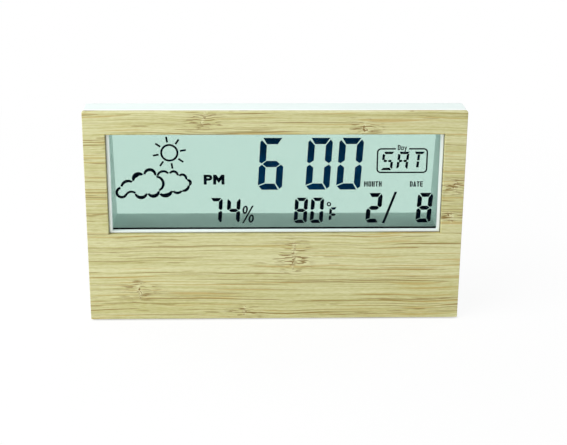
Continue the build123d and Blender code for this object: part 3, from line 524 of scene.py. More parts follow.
def seven_segments(w, h, t, s):
    """Outlines of a digit's segments: width, height, and the widths of its upright and its level strokes."""
    m, g = h / 2, 0.1 * t
    return {
        "a": [(0.42 * t, h), (w - 0.42 * t, h), (w - 1.02 * t, h - s), (1.02 * t, h - s)],
        "b": [
            (w, m + g + 0.34 * s), (w - 0.4 * t, m + g), (w - t, m + g + 0.46 * s), (w - t, h - 1.1 * s - g),
            (w - 0.32 * t, h - 0.24 * s), (w, h - 0.72 * s),
        ],
        "c": [
            (w - 0.36 * t, m - g), (w, m - g - 0.34 * s), (w, 0.5 * s), (w - 0.4 * t, 0.14 * s),
            (w - t, s + g), (w - t, m - g - 0.46 * s),
        ],
        "d": [(0.12 * t, 0.56 * s), (1.05 * t, s), (w - 1.14 * t, s), (w - 0.56 * t, 0), (0.62 * t, 0)],
        "e": [
            (0, 0.62 * s + g), (0, m - g - 0.4 * s), (0.42 * t, m - g), (t, m - g - 0.5 * s),
            (t, s + 1.5 * g),
        ],
        "f": [
            (0, m + g + 0.22 * s), (0.38 * t, m + g), (t, m + g + 0.46 * s), (t, h - 1.1 * s - g),
            (0.24 * t, h - 0.36 * s), (0, h - 0.66 * s),
        ],
        "g": [
            (0.52 * t, m), (1.08 * t, m + s / 2), (w - 1.08 * t, m + s / 2), (w - 0.5 * t, m),
            (w - 1.08 * t, m - s / 2), (1.08 * t, m - s / 2),
        ],
    }


def fourteen_segments(w, h, t):
    """Outlines of a letter's segments: level strokes a and d, uprights, middles g and n, and diagonals."""
    m, c, e = h / 2, w / 2, 0.5 * t
    outlines = {
        "a": [(0.5 * t, h), (w, h), (w - 0.7 * t, h - t), (1.0 * t, h - t)],
        "b": [
            (w - t, m + 0.4 * t), (w, m + 0.4 * t), (w, h - t), (w - 0.3 * t, h - 0.7 * t),
            (w - t, h - 1.35 * t),
        ],
        "c": [(w - t, 1.3 * t), (w - 0.2 * t, 0.5 * t), (w, 0.8 * t), (w, m - 0.4 * t), (w - t, m - 0.4 * t)],
        "d": [(0, 0), (w - 0.4 * t, 0), (w - 1.0 * t, t), (0.8 * t, t)],
        "e": [(0, 0.7 * t), (0.3 * t, 0.7 * t), (t, 1.3 * t), (t, m - 0.4 * t), (0, m - 0.4 * t)],
        "f": [(0, m + 0.4 * t), (t, m + 0.4 * t), (t, h - 1.3 * t), (0.3 * t, h - 0.9 * t), (0, h - 1.1 * t)],
        "i": [(c - e, m + 0.25 * t), (c + e, m + 0.25 * t), (c + e, h - 1.15 * t), (c - e, h - 1.15 * t)],
        "l": [(c - e, 1.15 * t), (c + e, 1.15 * t), (c + e, m - 0.25 * t), (c - e, m - 0.25 * t)],
    }
    for name, x0, x1 in (("g", 0.5 * t, c - 0.06 * t), ("n", c + 0.06 * t, w - 0.5 * t)):
        tip = 0.48 * t
        upper = [(x0 + tip, m + tip), (x1 - tip, m + tip)]
        lower = [(x1 - tip, m - tip), (x0 + tip, m - tip)]
        outlines[name] = [(x0, m)] + upper + [(x1, m)] + lower
    for name, x0, z0, x1, z1 in (
        ("h", 1.8 * t, h - 1.4 * t, c - 0.9 * t, m + 0.8 * t),
        ("j", w - 1.8 * t, h - 1.4 * t, c + 0.9 * t, m + 0.8 * t),
        ("k", 1.8 * t, 1.4 * t, c - 0.9 * t, m - 0.8 * t),
        ("m", w - 1.8 * t, 1.4 * t, c + 0.9 * t, m - 0.8 * t),
    ):
        outlines[name] = [(x0 - e, z0), (x0 + e, z0), (x1 + e, z1), (x1 - e, z1)]
    return outlines


def set_glyph(sheet, segments, lit, at, slant):
    """Places the lit segments of a glyph with its lower left corner at a place, leaning right."""
    lean = math.tan(slant)
    for name in lit:
        sheet.plate([(at[0] + x + z * lean, at[1] + z) for x, z in segments[name]])


def set_number(sheet, text, places, form, slant):
    """Sets one seven-segment glyph at each place."""
    segments = seven_segments(*form)
    for mark, at in zip(text, places):
        set_glyph(sheet, segments, SEVEN[mark], at, slant)


CORNER_STEPS = 6


def rounded(x0, x1, z0, z1, radius):
    """Rectangle with round corners, clockwise from the top right."""
    points = []
    for x, z, turn in (
        (x1 - radius, z1 - radius, 90), (x1 - radius, z0 + radius, 0),
        (x0 + radius, z0 + radius, -90), (x0 + radius, z1 - radius, -180),
    ):
        for k in range(CORNER_STEPS + 1):
            angle = math.radians(turn - 90 * k / CORNER_STEPS)
            points.append((x + radius * math.cos(angle), z + radius * math.sin(angle)))
    return points


def letter_shapes(mark, w, h, t):
    """Bars, open strokes and rings of one bold letter, t thick, in a box of w by h."""
    m, c, half = h / 2, w / 2, 2 * (CORNER_STEPS + 1)
    left, right = [(0, 0), (t, 0), (t, h), (0, h)], [(w - t, 0), (w, 0), (w, h), (w - t, h)]
    if mark == "H":
        return [left, right, [(t, m - t / 2), (w - t, m - t / 2), (w - t, m + t / 2), (t, m + t / 2)]], [], []
    if mark == "N":
        return [left, right, [(t, h), (t, h - 1.2 * t), (w - t, 0), (w - t, 1.2 * t)]], [], []
    if mark == "M":
        dip = 0.15 * h
        fall = [(t, h), (t, h - 1.7 * t), (c, dip), (c, dip + 1.7 * t)]
        return [left, right, fall, [(w - x, z) for x, z in fall[::-1]]], [], []
    if mark == "T":
        stem = [(c - t / 2, 0), (c + t / 2, 0), (c + t / 2, h - t), (c - t / 2, h - t)]
        return [stem, [(0, h - t), (w, h - t), (w, h), (0, h)]], [], []
    if mark == "E":
        arms = [[(t, z), (w, z), (w, z + 0.9 * t), (t, z + 0.9 * t)] for z in (0, m - 0.45 * t, h - 0.9 * t)]
        return [left] + arms, [], []
    if mark == "A":
        leg = [(0, 0), (1.1 * t, 0), (c, h - 1.2 * t), (c, h), (c - 0.5 * t, h)]
        low, high = 0.18 * h, 0.18 * h + 0.7 * t
        x0, x1 = (1.1 * t + (c - 1.1 * t) * z / (h - 1.2 * t) for z in (low, high))
        bar = [(x0, low), (w - x0, low), (w - x1, high), (x1, high)]
        return [leg, [(w - x, z) for x, z in leg[::-1]], bar], [], []
    if mark in "DP":
        foot, thin = (0.4 * h, 0.8 * t) if mark == "P" else (0, 0.9 * t)
        radius = min((h - foot) / 2, 0.45 * w)
        outer = [(t, h)] + rounded(0, w, foot, h, radius)[:half] + [(t, foot)]
        inner = rounded(0, w - t, foot + thin, h - thin, max(radius - t, 0.1 * t))[:half]
        return [left], [(outer, [(t, h - thin)] + inner + [(t, foot + thin)])], []
    if mark == "O":
        radius = 0.4 * w
        inner = rounded(t, w - t, 0.9 * t, h - 0.9 * t, max(radius - t, 0.1 * t))
        return [], [], [(rounded(0, w, 0, h, radius), inner)]
    if mark == "a":
        top, thin = 0.7 * h, 0.8 * t
        outer = [(w, top), (w, 0)] + rounded(0, w, 0, top, 0.3 * w)[half:]
        inner = [(w - t, top - thin), (w - t, thin)] + rounded(thin, w - t, thin, top - thin, 0.1 * t)[half:]
        return [], [], [(outer, inner)]
    if mark == "y":
        arm = [(0, 0.7 * h), (t, 0.7 * h), (0.46 * w, 0.25 * h), (0.385 * w, 0.1 * h)]
        tail = [(w - t, 0.7 * h), (w, 0.7 * h), (0.2 * w + t, -0.28 * h), (0.2 * w, -0.28 * h)]
        return [arm, tail], [], []
    raise ValueError(f"no drawing for the letter {mark}")


def set_word(sheet, text, low, high, thick, gap=0.16):
    """Draws bold letters that fill the box from low to high."""
    widths = [1.3 if mark == "M" else 1.0 for mark in text]
    unit = (high[0] - low[0]) / (sum(widths) + gap * (len(text) - 1))
    start = low[0]
    for mark, width in zip(text, widths):
        bars, strokes, rings = letter_shapes(mark, width * unit, high[1] - low[1], thick)
        for bar in bars:
            sheet.plate([(start + x, low[1] + z) for x, z in bar])
        for pairs, closed in ((strokes, False), (rings, True)):
            for pair in pairs:
                outer, inner = ([(start + x, low[1] + z) for x, z in line] for line in pair)
                sheet.stroke(outer, inner, closed)
        start += (width + gap) * unit


def circle(centre, radius, count=48, squeeze=1.0, lean=0.0):
    """Points of a circle that can be squeezed in width and leant to the right."""
    points = []
    for k in range(count):
        turn = 2 * math.pi * k / count
        rise = radius * math.sin(turn)
        points.append((centre[0] + squeeze * radius * math.cos(turn) + lean * rise, centre[1] + rise))
    return points


def arc_through(start, middle, end, count=14):
    """Points and centre of the arc through three points."""
    (ax, ay), (bx, by), (cx, cy) = start, middle, end
    d = 2 * (ax * (by - cy) + bx * (cy - ay) + cx * (ay - by))
    a, b, c = ax * ax + ay * ay, bx * bx + by * by, cx * cx + cy * cy
    centre = (
        (a * (by - cy) + b * (cy - ay) + c * (ay - by)) / d,
        (a * (cx - bx) + b * (ax - cx) + c * (bx - ax)) / d,
    )
    turns = [math.atan2(p[1] - centre[1], p[0] - centre[0]) for p in (start, middle, end)]
    sweep = (turns[2] - turns[0]) % (2 * math.pi)
    if (turns[1] - turns[0]) % (2 * math.pi) > sweep:
        sweep -= 2 * math.pi
    radius = math.dist(centre, start)
    points = []
    for k in range(count + 1):
        turn = turns[0] + sweep * k / count
        points.append((centre[0] + radius * math.cos(turn), centre[1] + radius * math.sin(turn)))
    return points, centre


# Lobes of the two clouds in mm: start, crown and end, then the stroke's width at its ends and at its crown
CLOUD_LOBES = (
    ((-57.6, 51.7), (-59.0, 48.0), (-55.0, 48.6), 0.94, 1.03),
    ((-57.5, 51.8), (-55.5, 54.3), (-52.9, 53.8), 0.80, 1.09),
    ((-52.9, 53.8), (-52.2, 56.9), (-48.9, 56.5), 0.74, 1.89),
    ((-48.9, 56.5), (-46.4, 58.9), (-44.1, 56.0), 0.80, 1.23),
    ((-44.1, 56.0), (-41.2, 53.8), (-43.1, 49.9), 0.80, 1.03),
    ((-43.0, 50.0), (-45.3, 47.3), (-47.6, 48.9), 0.80, 1.43),
    ((-47.5, 49.0), (-50.1, 46.8), (-52.4, 48.9), 0.74, 1.33),
    ((-52.3, 48.9), (-53.7, 49.3), (-55.1, 48.5), -0.78, -0.87),
    ((-44.0, 56.1), (-41.7, 58.1), (-39.4, 57.0), 0.78, 0.89),
    ((-39.4, 57.0), (-37.2, 58.0), (-35.8, 56.0), 0.78, 0.95),
    ((-35.9, 56.1), (-33.2, 56.3), (-32.8, 54.3), 0.78, 0.95),
    ((-32.9, 54.5), (-31.0, 53.5), (-31.9, 51.9), 0.84, 1.09),
    ((-31.8, 52.2), (-32.5, 50.2), (-34.7, 49.7), 0.84, 1.09),
    ((-34.5, 49.9), (-36.4, 48.7), (-38.3, 49.8), 0.78, 1.03),
    ((-38.1, 50.0), (-40.3, 47.5), (-43.2, 48.7), 0.84, 1.63),
)
SUN_CENTRE, SUN_OUTER, SUN_INNER, RAY_START, RAY_TURN = (-39.1, 64.75), 3.36, 2.6, 4.0, math.radians(10)


def ray_tree():
    """Geometry Nodes tree that sets bars round a centre, like the rays of a sun."""
    tree = bpy.data.node_groups.new("sun_rays", "GeometryNodeTree")
    tree.is_modifier = True
    for name, kind in (
        ("Geometry", "Geometry"), ("Count", "Int"), ("Radius", "Float"), ("Length", "Float"),
        ("Width", "Float"), ("Depth", "Float"), ("Turn", "Float"), ("Centre", "Vector"),
        ("Material", "Material"),
    ):
        tree.interface.new_socket(name=name, in_out="INPUT", socket_type=f"NodeSocket{kind}")
    tree.interface.new_socket(name="Geometry", in_out="OUTPUT", socket_type="NodeSocketGeometry")
    given = add_node(tree, "NodeGroupInput", out=None)
    index = add_node(tree, "GeometryNodeInputIndex")
    step = add_node(tree, "ShaderNodeMath", {0: 2 * math.pi, 1: given["Count"]}, operation="DIVIDE")
    turn = add_node(tree, "ShaderNodeMath", {0: index, 1: step, 2: given["Turn"]}, operation="MULTIPLY_ADD")
    reach = add_node(
        tree, "ShaderNodeMath", {0: given["Length"], 1: 0.5, 2: given["Radius"]}, operation="MULTIPLY_ADD"
    )
    sine = add_node(tree, "ShaderNodeMath", {0: turn}, operation="SINE")
    cosine = add_node(tree, "ShaderNodeMath", {0: turn}, operation="COSINE")
    heading = add_node(tree, "ShaderNodeCombineXYZ", {"X": cosine, "Z": sine})
    offset = add_node(tree, "ShaderNodeVectorMath", {0: heading, "Scale": reach}, operation="SCALE")
    place = add_node(tree, "ShaderNodeVectorMath", {0: offset, 1: given["Centre"]}, operation="ADD")
    points = add_node(tree, "GeometryNodePoints", {"Count": given["Count"], "Position": place})
    size = add_node(
        tree, "ShaderNodeCombineXYZ", {"X": given["Length"], "Y": given["Depth"], "Z": given["Width"]}
    )
    bar = add_node(tree, "GeometryNodeMeshCube", {"Size": size})
    back = add_node(tree, "ShaderNodeMath", {0: turn, 1: -1.0}, operation="MULTIPLY")
    spin = add_node(tree, "ShaderNodeCombineXYZ", {"Y": back})
    spin = add_node(tree, "FunctionNodeEulerToRotation", {0: spin})
    rays = add_node(
        tree, "GeometryNodeInstanceOnPoints", {"Points": points, "Instance": bar, "Rotation": spin}
    )
    rays = add_node(tree, "GeometryNodeRealizeInstances", {"Geometry": rays})
    rays = add_node(tree, "GeometryNodeSetMaterial", {"Geometry": rays, "Material": given["Material"]})
    add_node(tree, "NodeGroupOutput", {"Geometry": rays}, out=None)
    return tree


# Readouts on the display in mm: digits by their lower left corners and words by their boxes. A form is a
# digit's width and height, then the widths of its upright and its level strokes
TIME_PLACES = ((-18.1, 50.35), (-6.55, 50.35), (11.2, 50.35), (22.7, 50.35))
TIME_FORM = (9.05, 20.0, 2.5, 2.4)
AFTERNOON_BOX, AFTERNOON_STROKE, AFTERNOON_GAP = ((-26.6, 52.45), (-18.85, 56.25)), 1.15, 0.08
HUMIDITY_PLACES, HUMIDITY_FORM = ((-25.05, 37.3), (-18.35, 37.3)), (5.0, 9.9, 1.45, 1.35)
PERCENT_RINGS = ((-11.2, 42.5), (-8.95, 39.0))
PERCENT_RADII, PERCENT_LEAN = ((1.66, 0.62), (0.98, 0.32)), 0.12
PERCENT_BAR = ((-12.4, 37.2), (-11.7, 37.2), (-7.95, 44.15), (-8.65, 44.15))
TEMPERATURE_PLACES, TEMPERATURE_FORM = ((7.0, 37.15), (13.05, 37.15)), (4.9, 10.05, 1.45, 1.35)
UNIT_PLACE, UNIT_FORM = (20.2, 37.5), (3.05, 5.85, 1.0, 0.95)
DEGREE_CENTRE, DEGREE_OUTER, DEGREE_INNER = (20.25, 44.6), 0.86, 0.4
WEEKDAY_PLACES, WEEKDAY_FORM = ((39.35, 57.85), (45.05, 57.85), (50.75, 57.85)), (4.2, 7.15, 0.95)
WEEKDAY_LEAN = 1.6
FRAME_BOX, FRAME_RADIUS, FRAME_LINE, FRAME_GAP = (37.7, 56.75, 56.7, 66.35), 1.6, 0.56, (44.7, 49.6)
DAY_BOX, DAY_STROKE = ((45.4, 65.6), (48.8, 67.55)), 0.36
DATE_PLACES, DATE_FORM = ((34.05, 37.2), (53.05, 37.2)), (5.75, 11.75, 1.68, 1.6)
DATE_SLASH = ((40.4, 37.0), (41.4, 37.0), (45.8, 49.4), (44.8, 49.4))
CAPTIONS = (("MONTH", (33.25, 51.45), (39.85, 53.55)), ("DATE", (50.45, 51.4), (55.35, 53.5)))
CAPTION_STROKE, CAPTION_GAP = 0.43, 0.2

# Studio in metres: softboxes with their place, size and power setting, the point that they face, the floor,
# the distances over which it turns plain white, and how its white fades under the clock's edge
LAMPS = (
    ("overhead_softbox", (-0.45, -0.35, 0.9), 0.7, "overhead_watts"),
    ("front_softbox", (-0.44, -0.45, 0.4), 0.45, "front_watts"),
    ("rear_left_softbox", (-0.55, 0.38, 0.14), 0.26, "rear_watts"),
    ("rear_right_softbox", (0.55, 0.38, 0.14), 0.26, "rear_watts"),
)
LAMP_TARGET = Vector((0.0, 0.0, 0.04))
FLOOR_HALF = 4.0
WHITE_FROM, WHITE_TO = 0.12, 0.35
# Painted shade under the clock's edge: there the floor's glow fades, so the floor shows darker besides its
# real shadow
PAINTED_SHADOW_FROM, PAINTED_SHADOW_TO, PAINTED_SHADOW_GLOW = -3 * MM, 1.5 * MM, 0.15


# Operators


class CLOCK_OT_panel(bpy.types.Operator):
    """Finish the bamboo panel and the film that holds it"""

    bl_idname = "clock.panel"
    bl_label = "Bamboo panel"

    def execute(self, context):
        dress(bamboo_material(context.scene.clock_finish), "bamboo")
        # Acrylic transfer film: milky, seen only as a thin line at the panel's edge
        film = grained("acrylic_transfer_film", linear("E4E6DE"), linear("D2D4CA"), 0.6, (0.45, 0.6), 0.01)
        dress(film, "adhesive_film")
        return {"FINISHED"}


class CLOCK_OT_case(bpy.types.Operator):
    """Finish the white case, its door, keys, screws and feet"""

    bl_idname = "clock.case"
    bl_label = "White case"

    def execute(self, context):
        finish = context.scene.clock_finish
        # ABS from a spark-eroded mould: cool white with a fine matt grain, drawn at 0.35 mm, several times
        # the real pits, so that it shows
        white = tuple(finish.white_plastic)
        shade = shaded(white, 0.96)
        dress(grained("abs_white_moulded", white, shade, 0.35, (0.4, 0.55), 0.02, IOR=1.53), "white_abs")
        # Display frame, a separate moulding: painted light, a brighter white so that its shaded lip looks lit
        lit_lip = grained(
            "abs_bright_white_moulded", linear("F4FBFB"), linear("EAF4F4"), 0.35, (0.3, 0.42), 0.01, IOR=1.53
        )
        paint("front_frame", lit_lip)
        # Keys in a smoother and slightly greyer ABS, so that they catch a softer highlight
        key = tuple(finish.key_plastic)
        shade = shaded(key, 0.94)
        dress(grained("abs_keys_moulded", key, shade, 0.5, (0.28, 0.4), 0.01, IOR=1.53), "button_plastic")
        # Zinc plated steel: pale grey metal with a fine bloom
        steel = grained(
            "steel_zinc_plated", linear("C9CBCC"), linear("A9ACAE"), 0.4, (0.28, 0.45), 0.01, Metallic=1.0
        )
        dress(steel, "screw_steel")
        # Die-cut rubber: dark, matt and slightly dusty
        rubber = grained("rubber_foot", linear("2B2B2B"), linear("1E1E1E"), 0.5, (0.75, 0.92), 0.03, IOR=1.52)
        dress(rubber, "foot_rubber")
        return {"FINISHED"}


class CLOCK_OT_display(bpy.types.Operator):
    """Finish the see-through display and its seals"""

    bl_idname = "clock.display"
    bl_label = "See-through display"

    def execute(self, context):
        finish = context.scene.clock_finish
        # Polariser: a grey-green tint over what is behind it, with an anti-glare skin
        dress(clear_sheet("polariser_film", finish.film_tint, 0.0015, (0.12, 0.2)), "polariser_film")
        # Float glass, laminated, so that only its grazing edge shows
        dress(clear_sheet("float_glass_laminated", linear("FCFEFD"), 0.0, (0.03, 0.06)), "lcd_glass")
        # Closed-cell foam: near black and quite matt, its cells drawn about twice as large so that they show
        # Its near black also stands in for the shade of the gap between the lip and the display: partly
        # painted shade
        gap_shade_foam = grained("foam_gasket", linear("1C2226"), linear("10151A"), 0.3, (0.85, 0.95), 0.04)
        dress(gap_shade_foam, "gasket_foam")
        # Layered elastomer: grey with dark conducting leaves across its length, drawn coarser than the real
        # tenth of a millimetre so that they show
        zebra = grained(
            "zebra_elastomer", linear("8A8A8C"), linear("2A2A2C"), 0.4, (0.6, 0.75), 0.01, (1, 0.02, 0.02)
        )
        dress(zebra, "zebra_rubber")
        return {"FINISHED"}


class CLOCK_OT_electronics(bpy.types.Operator):
    """Finish the circuit board and what stands on it"""

    bl_idname = "clock.electronics"
    bl_label = "Circuit board"

    def execute(self, context):
        # Solder mask: deep green lacquer over copper, with slightly raised tracks
        board = grained(
            "solder_mask_green", linear("2C7A4B"), linear("1B5A35"), 1.6, (0.25, 0.4), 0.03, (1, 1, 0.25),
            IOR=1.55,
        )
        dress(board, "circuit_board")
        # Cast epoxy: black and glossy with a soft skin
        epoxy = grained("epoxy_black", linear("17171A"), linear("0C0C0E"), 1.2, (0.15, 0.3), 0.02, IOR=1.55)
        dress(epoxy, "epoxy")
        # Deep-drawn tin plated can: bright metal with a drawn bloom
        can = grained(
            "tin_plated_can", linear("D4D3CE"), linear("B9B8B2"), 0.4, (0.2, 0.35), 0.01, Metallic=1.0
        )
        dress(can, "can_metal")
        # Shrunk sleeve: dark blue and smooth
        sleeve = grained(
            "shrink_sleeve", linear("1E2A44"), linear("141D31"), 0.8, (0.25, 0.35), 0.01, IOR=1.54
        )
        dress(sleeve, "capacitor_sleeve")
        # PBT: black, moulded, with a fine sand grain that is drawn coarse enough to show
        black = grained("pbt_black", linear("1D1D1E"), linear("111112"), 0.3, (0.5, 0.65), 0.02, IOR=1.55)
        dress(black, "buzzer_shell", "switch_shell", "plunger_plastic")
        # ABS cage over the sensor: off-white and plain
        cage = grained("abs_sensor_cage", linear("E2E5E4"), linear("D2D6D5"), 0.4, (0.4, 0.5), 0.02, IOR=1.53)
        dress(cage, "sensor_cage")
        # Dipped bead: dark brown with a wet shine
        bead = grained(
            "epoxy_dipped_bead", linear("2A231B"), linear("16120E"), 0.5, (0.2, 0.35), 0.02, IOR=1.55
        )
        dress(bead, "probe_bead")
        # Extruded insulation: saturated and smooth
        for hue, light, dark in (("red", "B5201B", "8F1512"), ("black", "1B1B1C", "101011")):
            lead = grained(f"pvc_{hue}", linear(light), linear(dark), 0.6, (0.3, 0.42), 0.01, IOR=1.54)
            dress(lead, f"lead_{hue}")
        return {"FINISHED"}


class CLOCK_OT_power(bpy.types.Operator):
    """Finish the cells, contacts and springs"""

    bl_idname = "clock.power"
    bl_label = "Cells and contacts"

    def execute(self, context):
        # Film jacket shrunk over a steel can: two plain bands, with bare metal at both ends
        steel, dark, pale = linear("C4C4C0"), linear("3B434B"), linear("9AA3AA")
        stops = [(0.0, steel, 1.0), (0.012, dark, 0.0), (0.66, pale, 0.0), (0.972, steel, 1.0)]
        for node in ("upper_cell", "lower_cell"):
            low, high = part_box(node)
            ends = (low.x, high.x) if node == "upper_cell" else (high.x, low.x)
            paint(node, cell_material(f"film_jacket_{node}", stops, *ends))
        # Nickel plate: warm bright metal with fine scuffs
        nickel = grained(
            "nickel_plate", linear("D0CCC2"), linear("B3AFA5"), 0.5, (0.2, 0.35), 0.01, Metallic=1.0
        )
        dress(nickel, "contact_nickel")
        # Plated spring wire: cooler and brighter than the plates
        spring = grained(
            "spring_steel_plated", linear("C8C8C4"), linear("A5A5A2"), 0.3, (0.22, 0.38), 0.01, Metallic=1.0
        )
        dress(spring, "spring_steel")
        return {"FINISHED"}


class CLOCK_OT_time(bpy.types.Operator):
    """Draw the time and the afternoon mark"""

    bl_idname = "clock.time"
    bl_label = "Time"

    def execute(self, context):
        finish, shown = context.scene.clock_finish, context.scene.clock_readout
        sheet = DisplaySheet(shown.depth)
        digits = f"{shown.hour:2d}{shown.minute:02d}"
        marks = [(mark, at) for mark, at in zip(digits, TIME_PLACES) if mark != " "]
        set_number(sheet, *zip(*marks), TIME_FORM, shown.slant)
        sheet.finish("time_readout", shared_crystal("liquid_crystal_driven", finish.segment_blue))
        if shown.afternoon:
            sheet = DisplaySheet(shown.depth)
            set_word(sheet, "PM", *AFTERNOON_BOX, AFTERNOON_STROKE, AFTERNOON_GAP)
            sheet.finish("afternoon_mark", shared_crystal("liquid_crystal_driven_deep", finish.segment_black))
        return {"FINISHED"}


class CLOCK_OT_climate(bpy.types.Operator):
    """Draw the humidity and the temperature"""

    bl_idname = "clock.climate"
    bl_label = "Humidity and temperature"

    def execute(self, context):
        finish, shown = context.scene.clock_finish, context.scene.clock_readout
        ink = shared_crystal("liquid_crystal_driven_deep", finish.segment_black)
        sheet = DisplaySheet(shown.depth)
        set_number(sheet, f"{shown.humidity:2d}", HUMIDITY_PLACES, HUMIDITY_FORM, shown.slant)
        for centre in PERCENT_RINGS:
            rings = [circle(centre, radius, 32, squeeze, PERCENT_LEAN) for radius, squeeze in PERCENT_RADII]
            sheet.stroke(*rings, closed=True)
        sheet.plate(PERCENT_BAR)
        sheet.finish("humidity_readout", ink)
        sheet = DisplaySheet(shown.depth)
        set_number(sheet, f"{shown.temperature:2d}", TEMPERATURE_PLACES, TEMPERATURE_FORM, shown.slant)
        set_number(sheet, "F", (UNIT_PLACE,), UNIT_FORM, shown.slant)
        sheet.stroke(circle(DEGREE_CENTRE, DEGREE_OUTER), circle(DEGREE_CENTRE, DEGREE_INNER), closed=True)
        sheet.finish("temperature_readout", ink)
        return {"FINISHED"}


class CLOCK_OT_calendar(bpy.types.Operator):
    """Draw the weekday in its frame, the month and the date"""

    bl_idname = "clock.calendar"
    bl_label = "Weekday and date"

    def execute(self, context):
        finish, shown = context.scene.clock_finish, context.scene.clock_readout
        sheet = DisplaySheet(shown.depth)
        segments = fourteen_segments(*WEEKDAY_FORM)
        for mark, at in zip(shown.weekday.upper(), WEEKDAY_PLACES):
            if mark not in FOURTEEN:
                raise ValueError(f"the weekday readout has no letter {mark}")
            set_glyph(sheet, segments, FOURTEEN[mark], at, WEEKDAY_LEAN * shown.slant)
        left, right, low, high = FRAME_BOX
        lines = []
        for inset in (0.0, FRAME_LINE):
            ring = rounded(left + inset, right - inset, low + inset, high - inset, FRAME_RADIUS - inset)
            lines.append([(FRAME_GAP[1], high - inset)] + ring + [(FRAME_GAP[0], high - inset)])
        sheet.stroke(*lines)
        set_word(sheet, "Day", *DAY_BOX, DAY_STROKE)
        sheet.finish("weekday_readout", shared_crystal("liquid_crystal_driven_deep", finish.segment_black))
        sheet = DisplaySheet(shown.depth)
        set_number(sheet, f"{shown.month}{shown.date}", DATE_PLACES, DATE_FORM, shown.slant)
        sheet.plate(DATE_SLASH)
        for word, low, high in CAPTIONS:
            set_word(sheet, word, low, high, CAPTION_STROKE, CAPTION_GAP)
        sheet.finish("date_readout", shared_crystal("liquid_crystal_driven_deep", finish.segment_black))
        return {"FINISHED"}


class CLOCK_OT_weather(bpy.types.Operator):
    """Draw the sun and the clouds"""

    bl_idname = "clock.weather"
    bl_label = "Weather sign"

    def execute(self, context):
        finish, shown = context.scene.clock_finish, context.scene.clock_readout
        ink = shared_crystal("liquid_crystal_driven_deep", finish.segment_black)
        sheet = DisplaySheet(shown.depth)
        sheet.stroke(circle(SUN_CENTRE, SUN_OUTER, 64), circle(SUN_CENTRE, SUN_INNER, 64), closed=True)
        for start, crown, end, edge, middle in CLOUD_LOBES:
            outer, centre = arc_through(start, crown, end)
            inner = []
            for k, point in enumerate(outer):
                width = edge + (middle - edge) * math.sin(math.pi * k / (len(outer) - 1))
                away = math.dist(point, centre)
                inner.append(tuple(p + (c - p) * width / away for p, c in zip(point, centre)))
            sheet.stroke(outer, inner)
        sheet.finish("weather_readout", ink)

        holder = bpy.data.objects.new("sun_rays", bpy.data.meshes.new("sun_rays"))
        context.scene.collection.objects.link(holder)
        tree = ray_tree()
        modifier = holder.modifiers.new("rays", "NODES")
        modifier.node_group = tree
        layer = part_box("front_glass")[1].y
        inputs = {
            "Count": shown.ray_count, "Radius": RAY_START * MM, "Length": shown.ray_length,
            "Width": shown.ray_width, "Depth": shown.depth, "Turn": RAY_TURN,
            "Centre": (SUN_CENTRE[0] * MM, layer, SUN_CENTRE[1] * MM), "Material": ink,
        }
        for socket in tree.interface.items_tree:
            if socket.in_out == "INPUT" and socket.name in inputs:
                modifier[socket.identifier] = inputs[socket.name]
        context.view_layer.update()
        rays = bpy.data.meshes.new_from_object(holder.evaluated_get(context.evaluated_depsgraph_get()))
        holder.modifiers.remove(modifier)
        if len(rays.vertices) != 8 * shown.ray_count:
            raise RuntimeError("the sun's rays were not made")
        holder.data = rays
        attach(holder, "case")
        return {"FINISHED"}


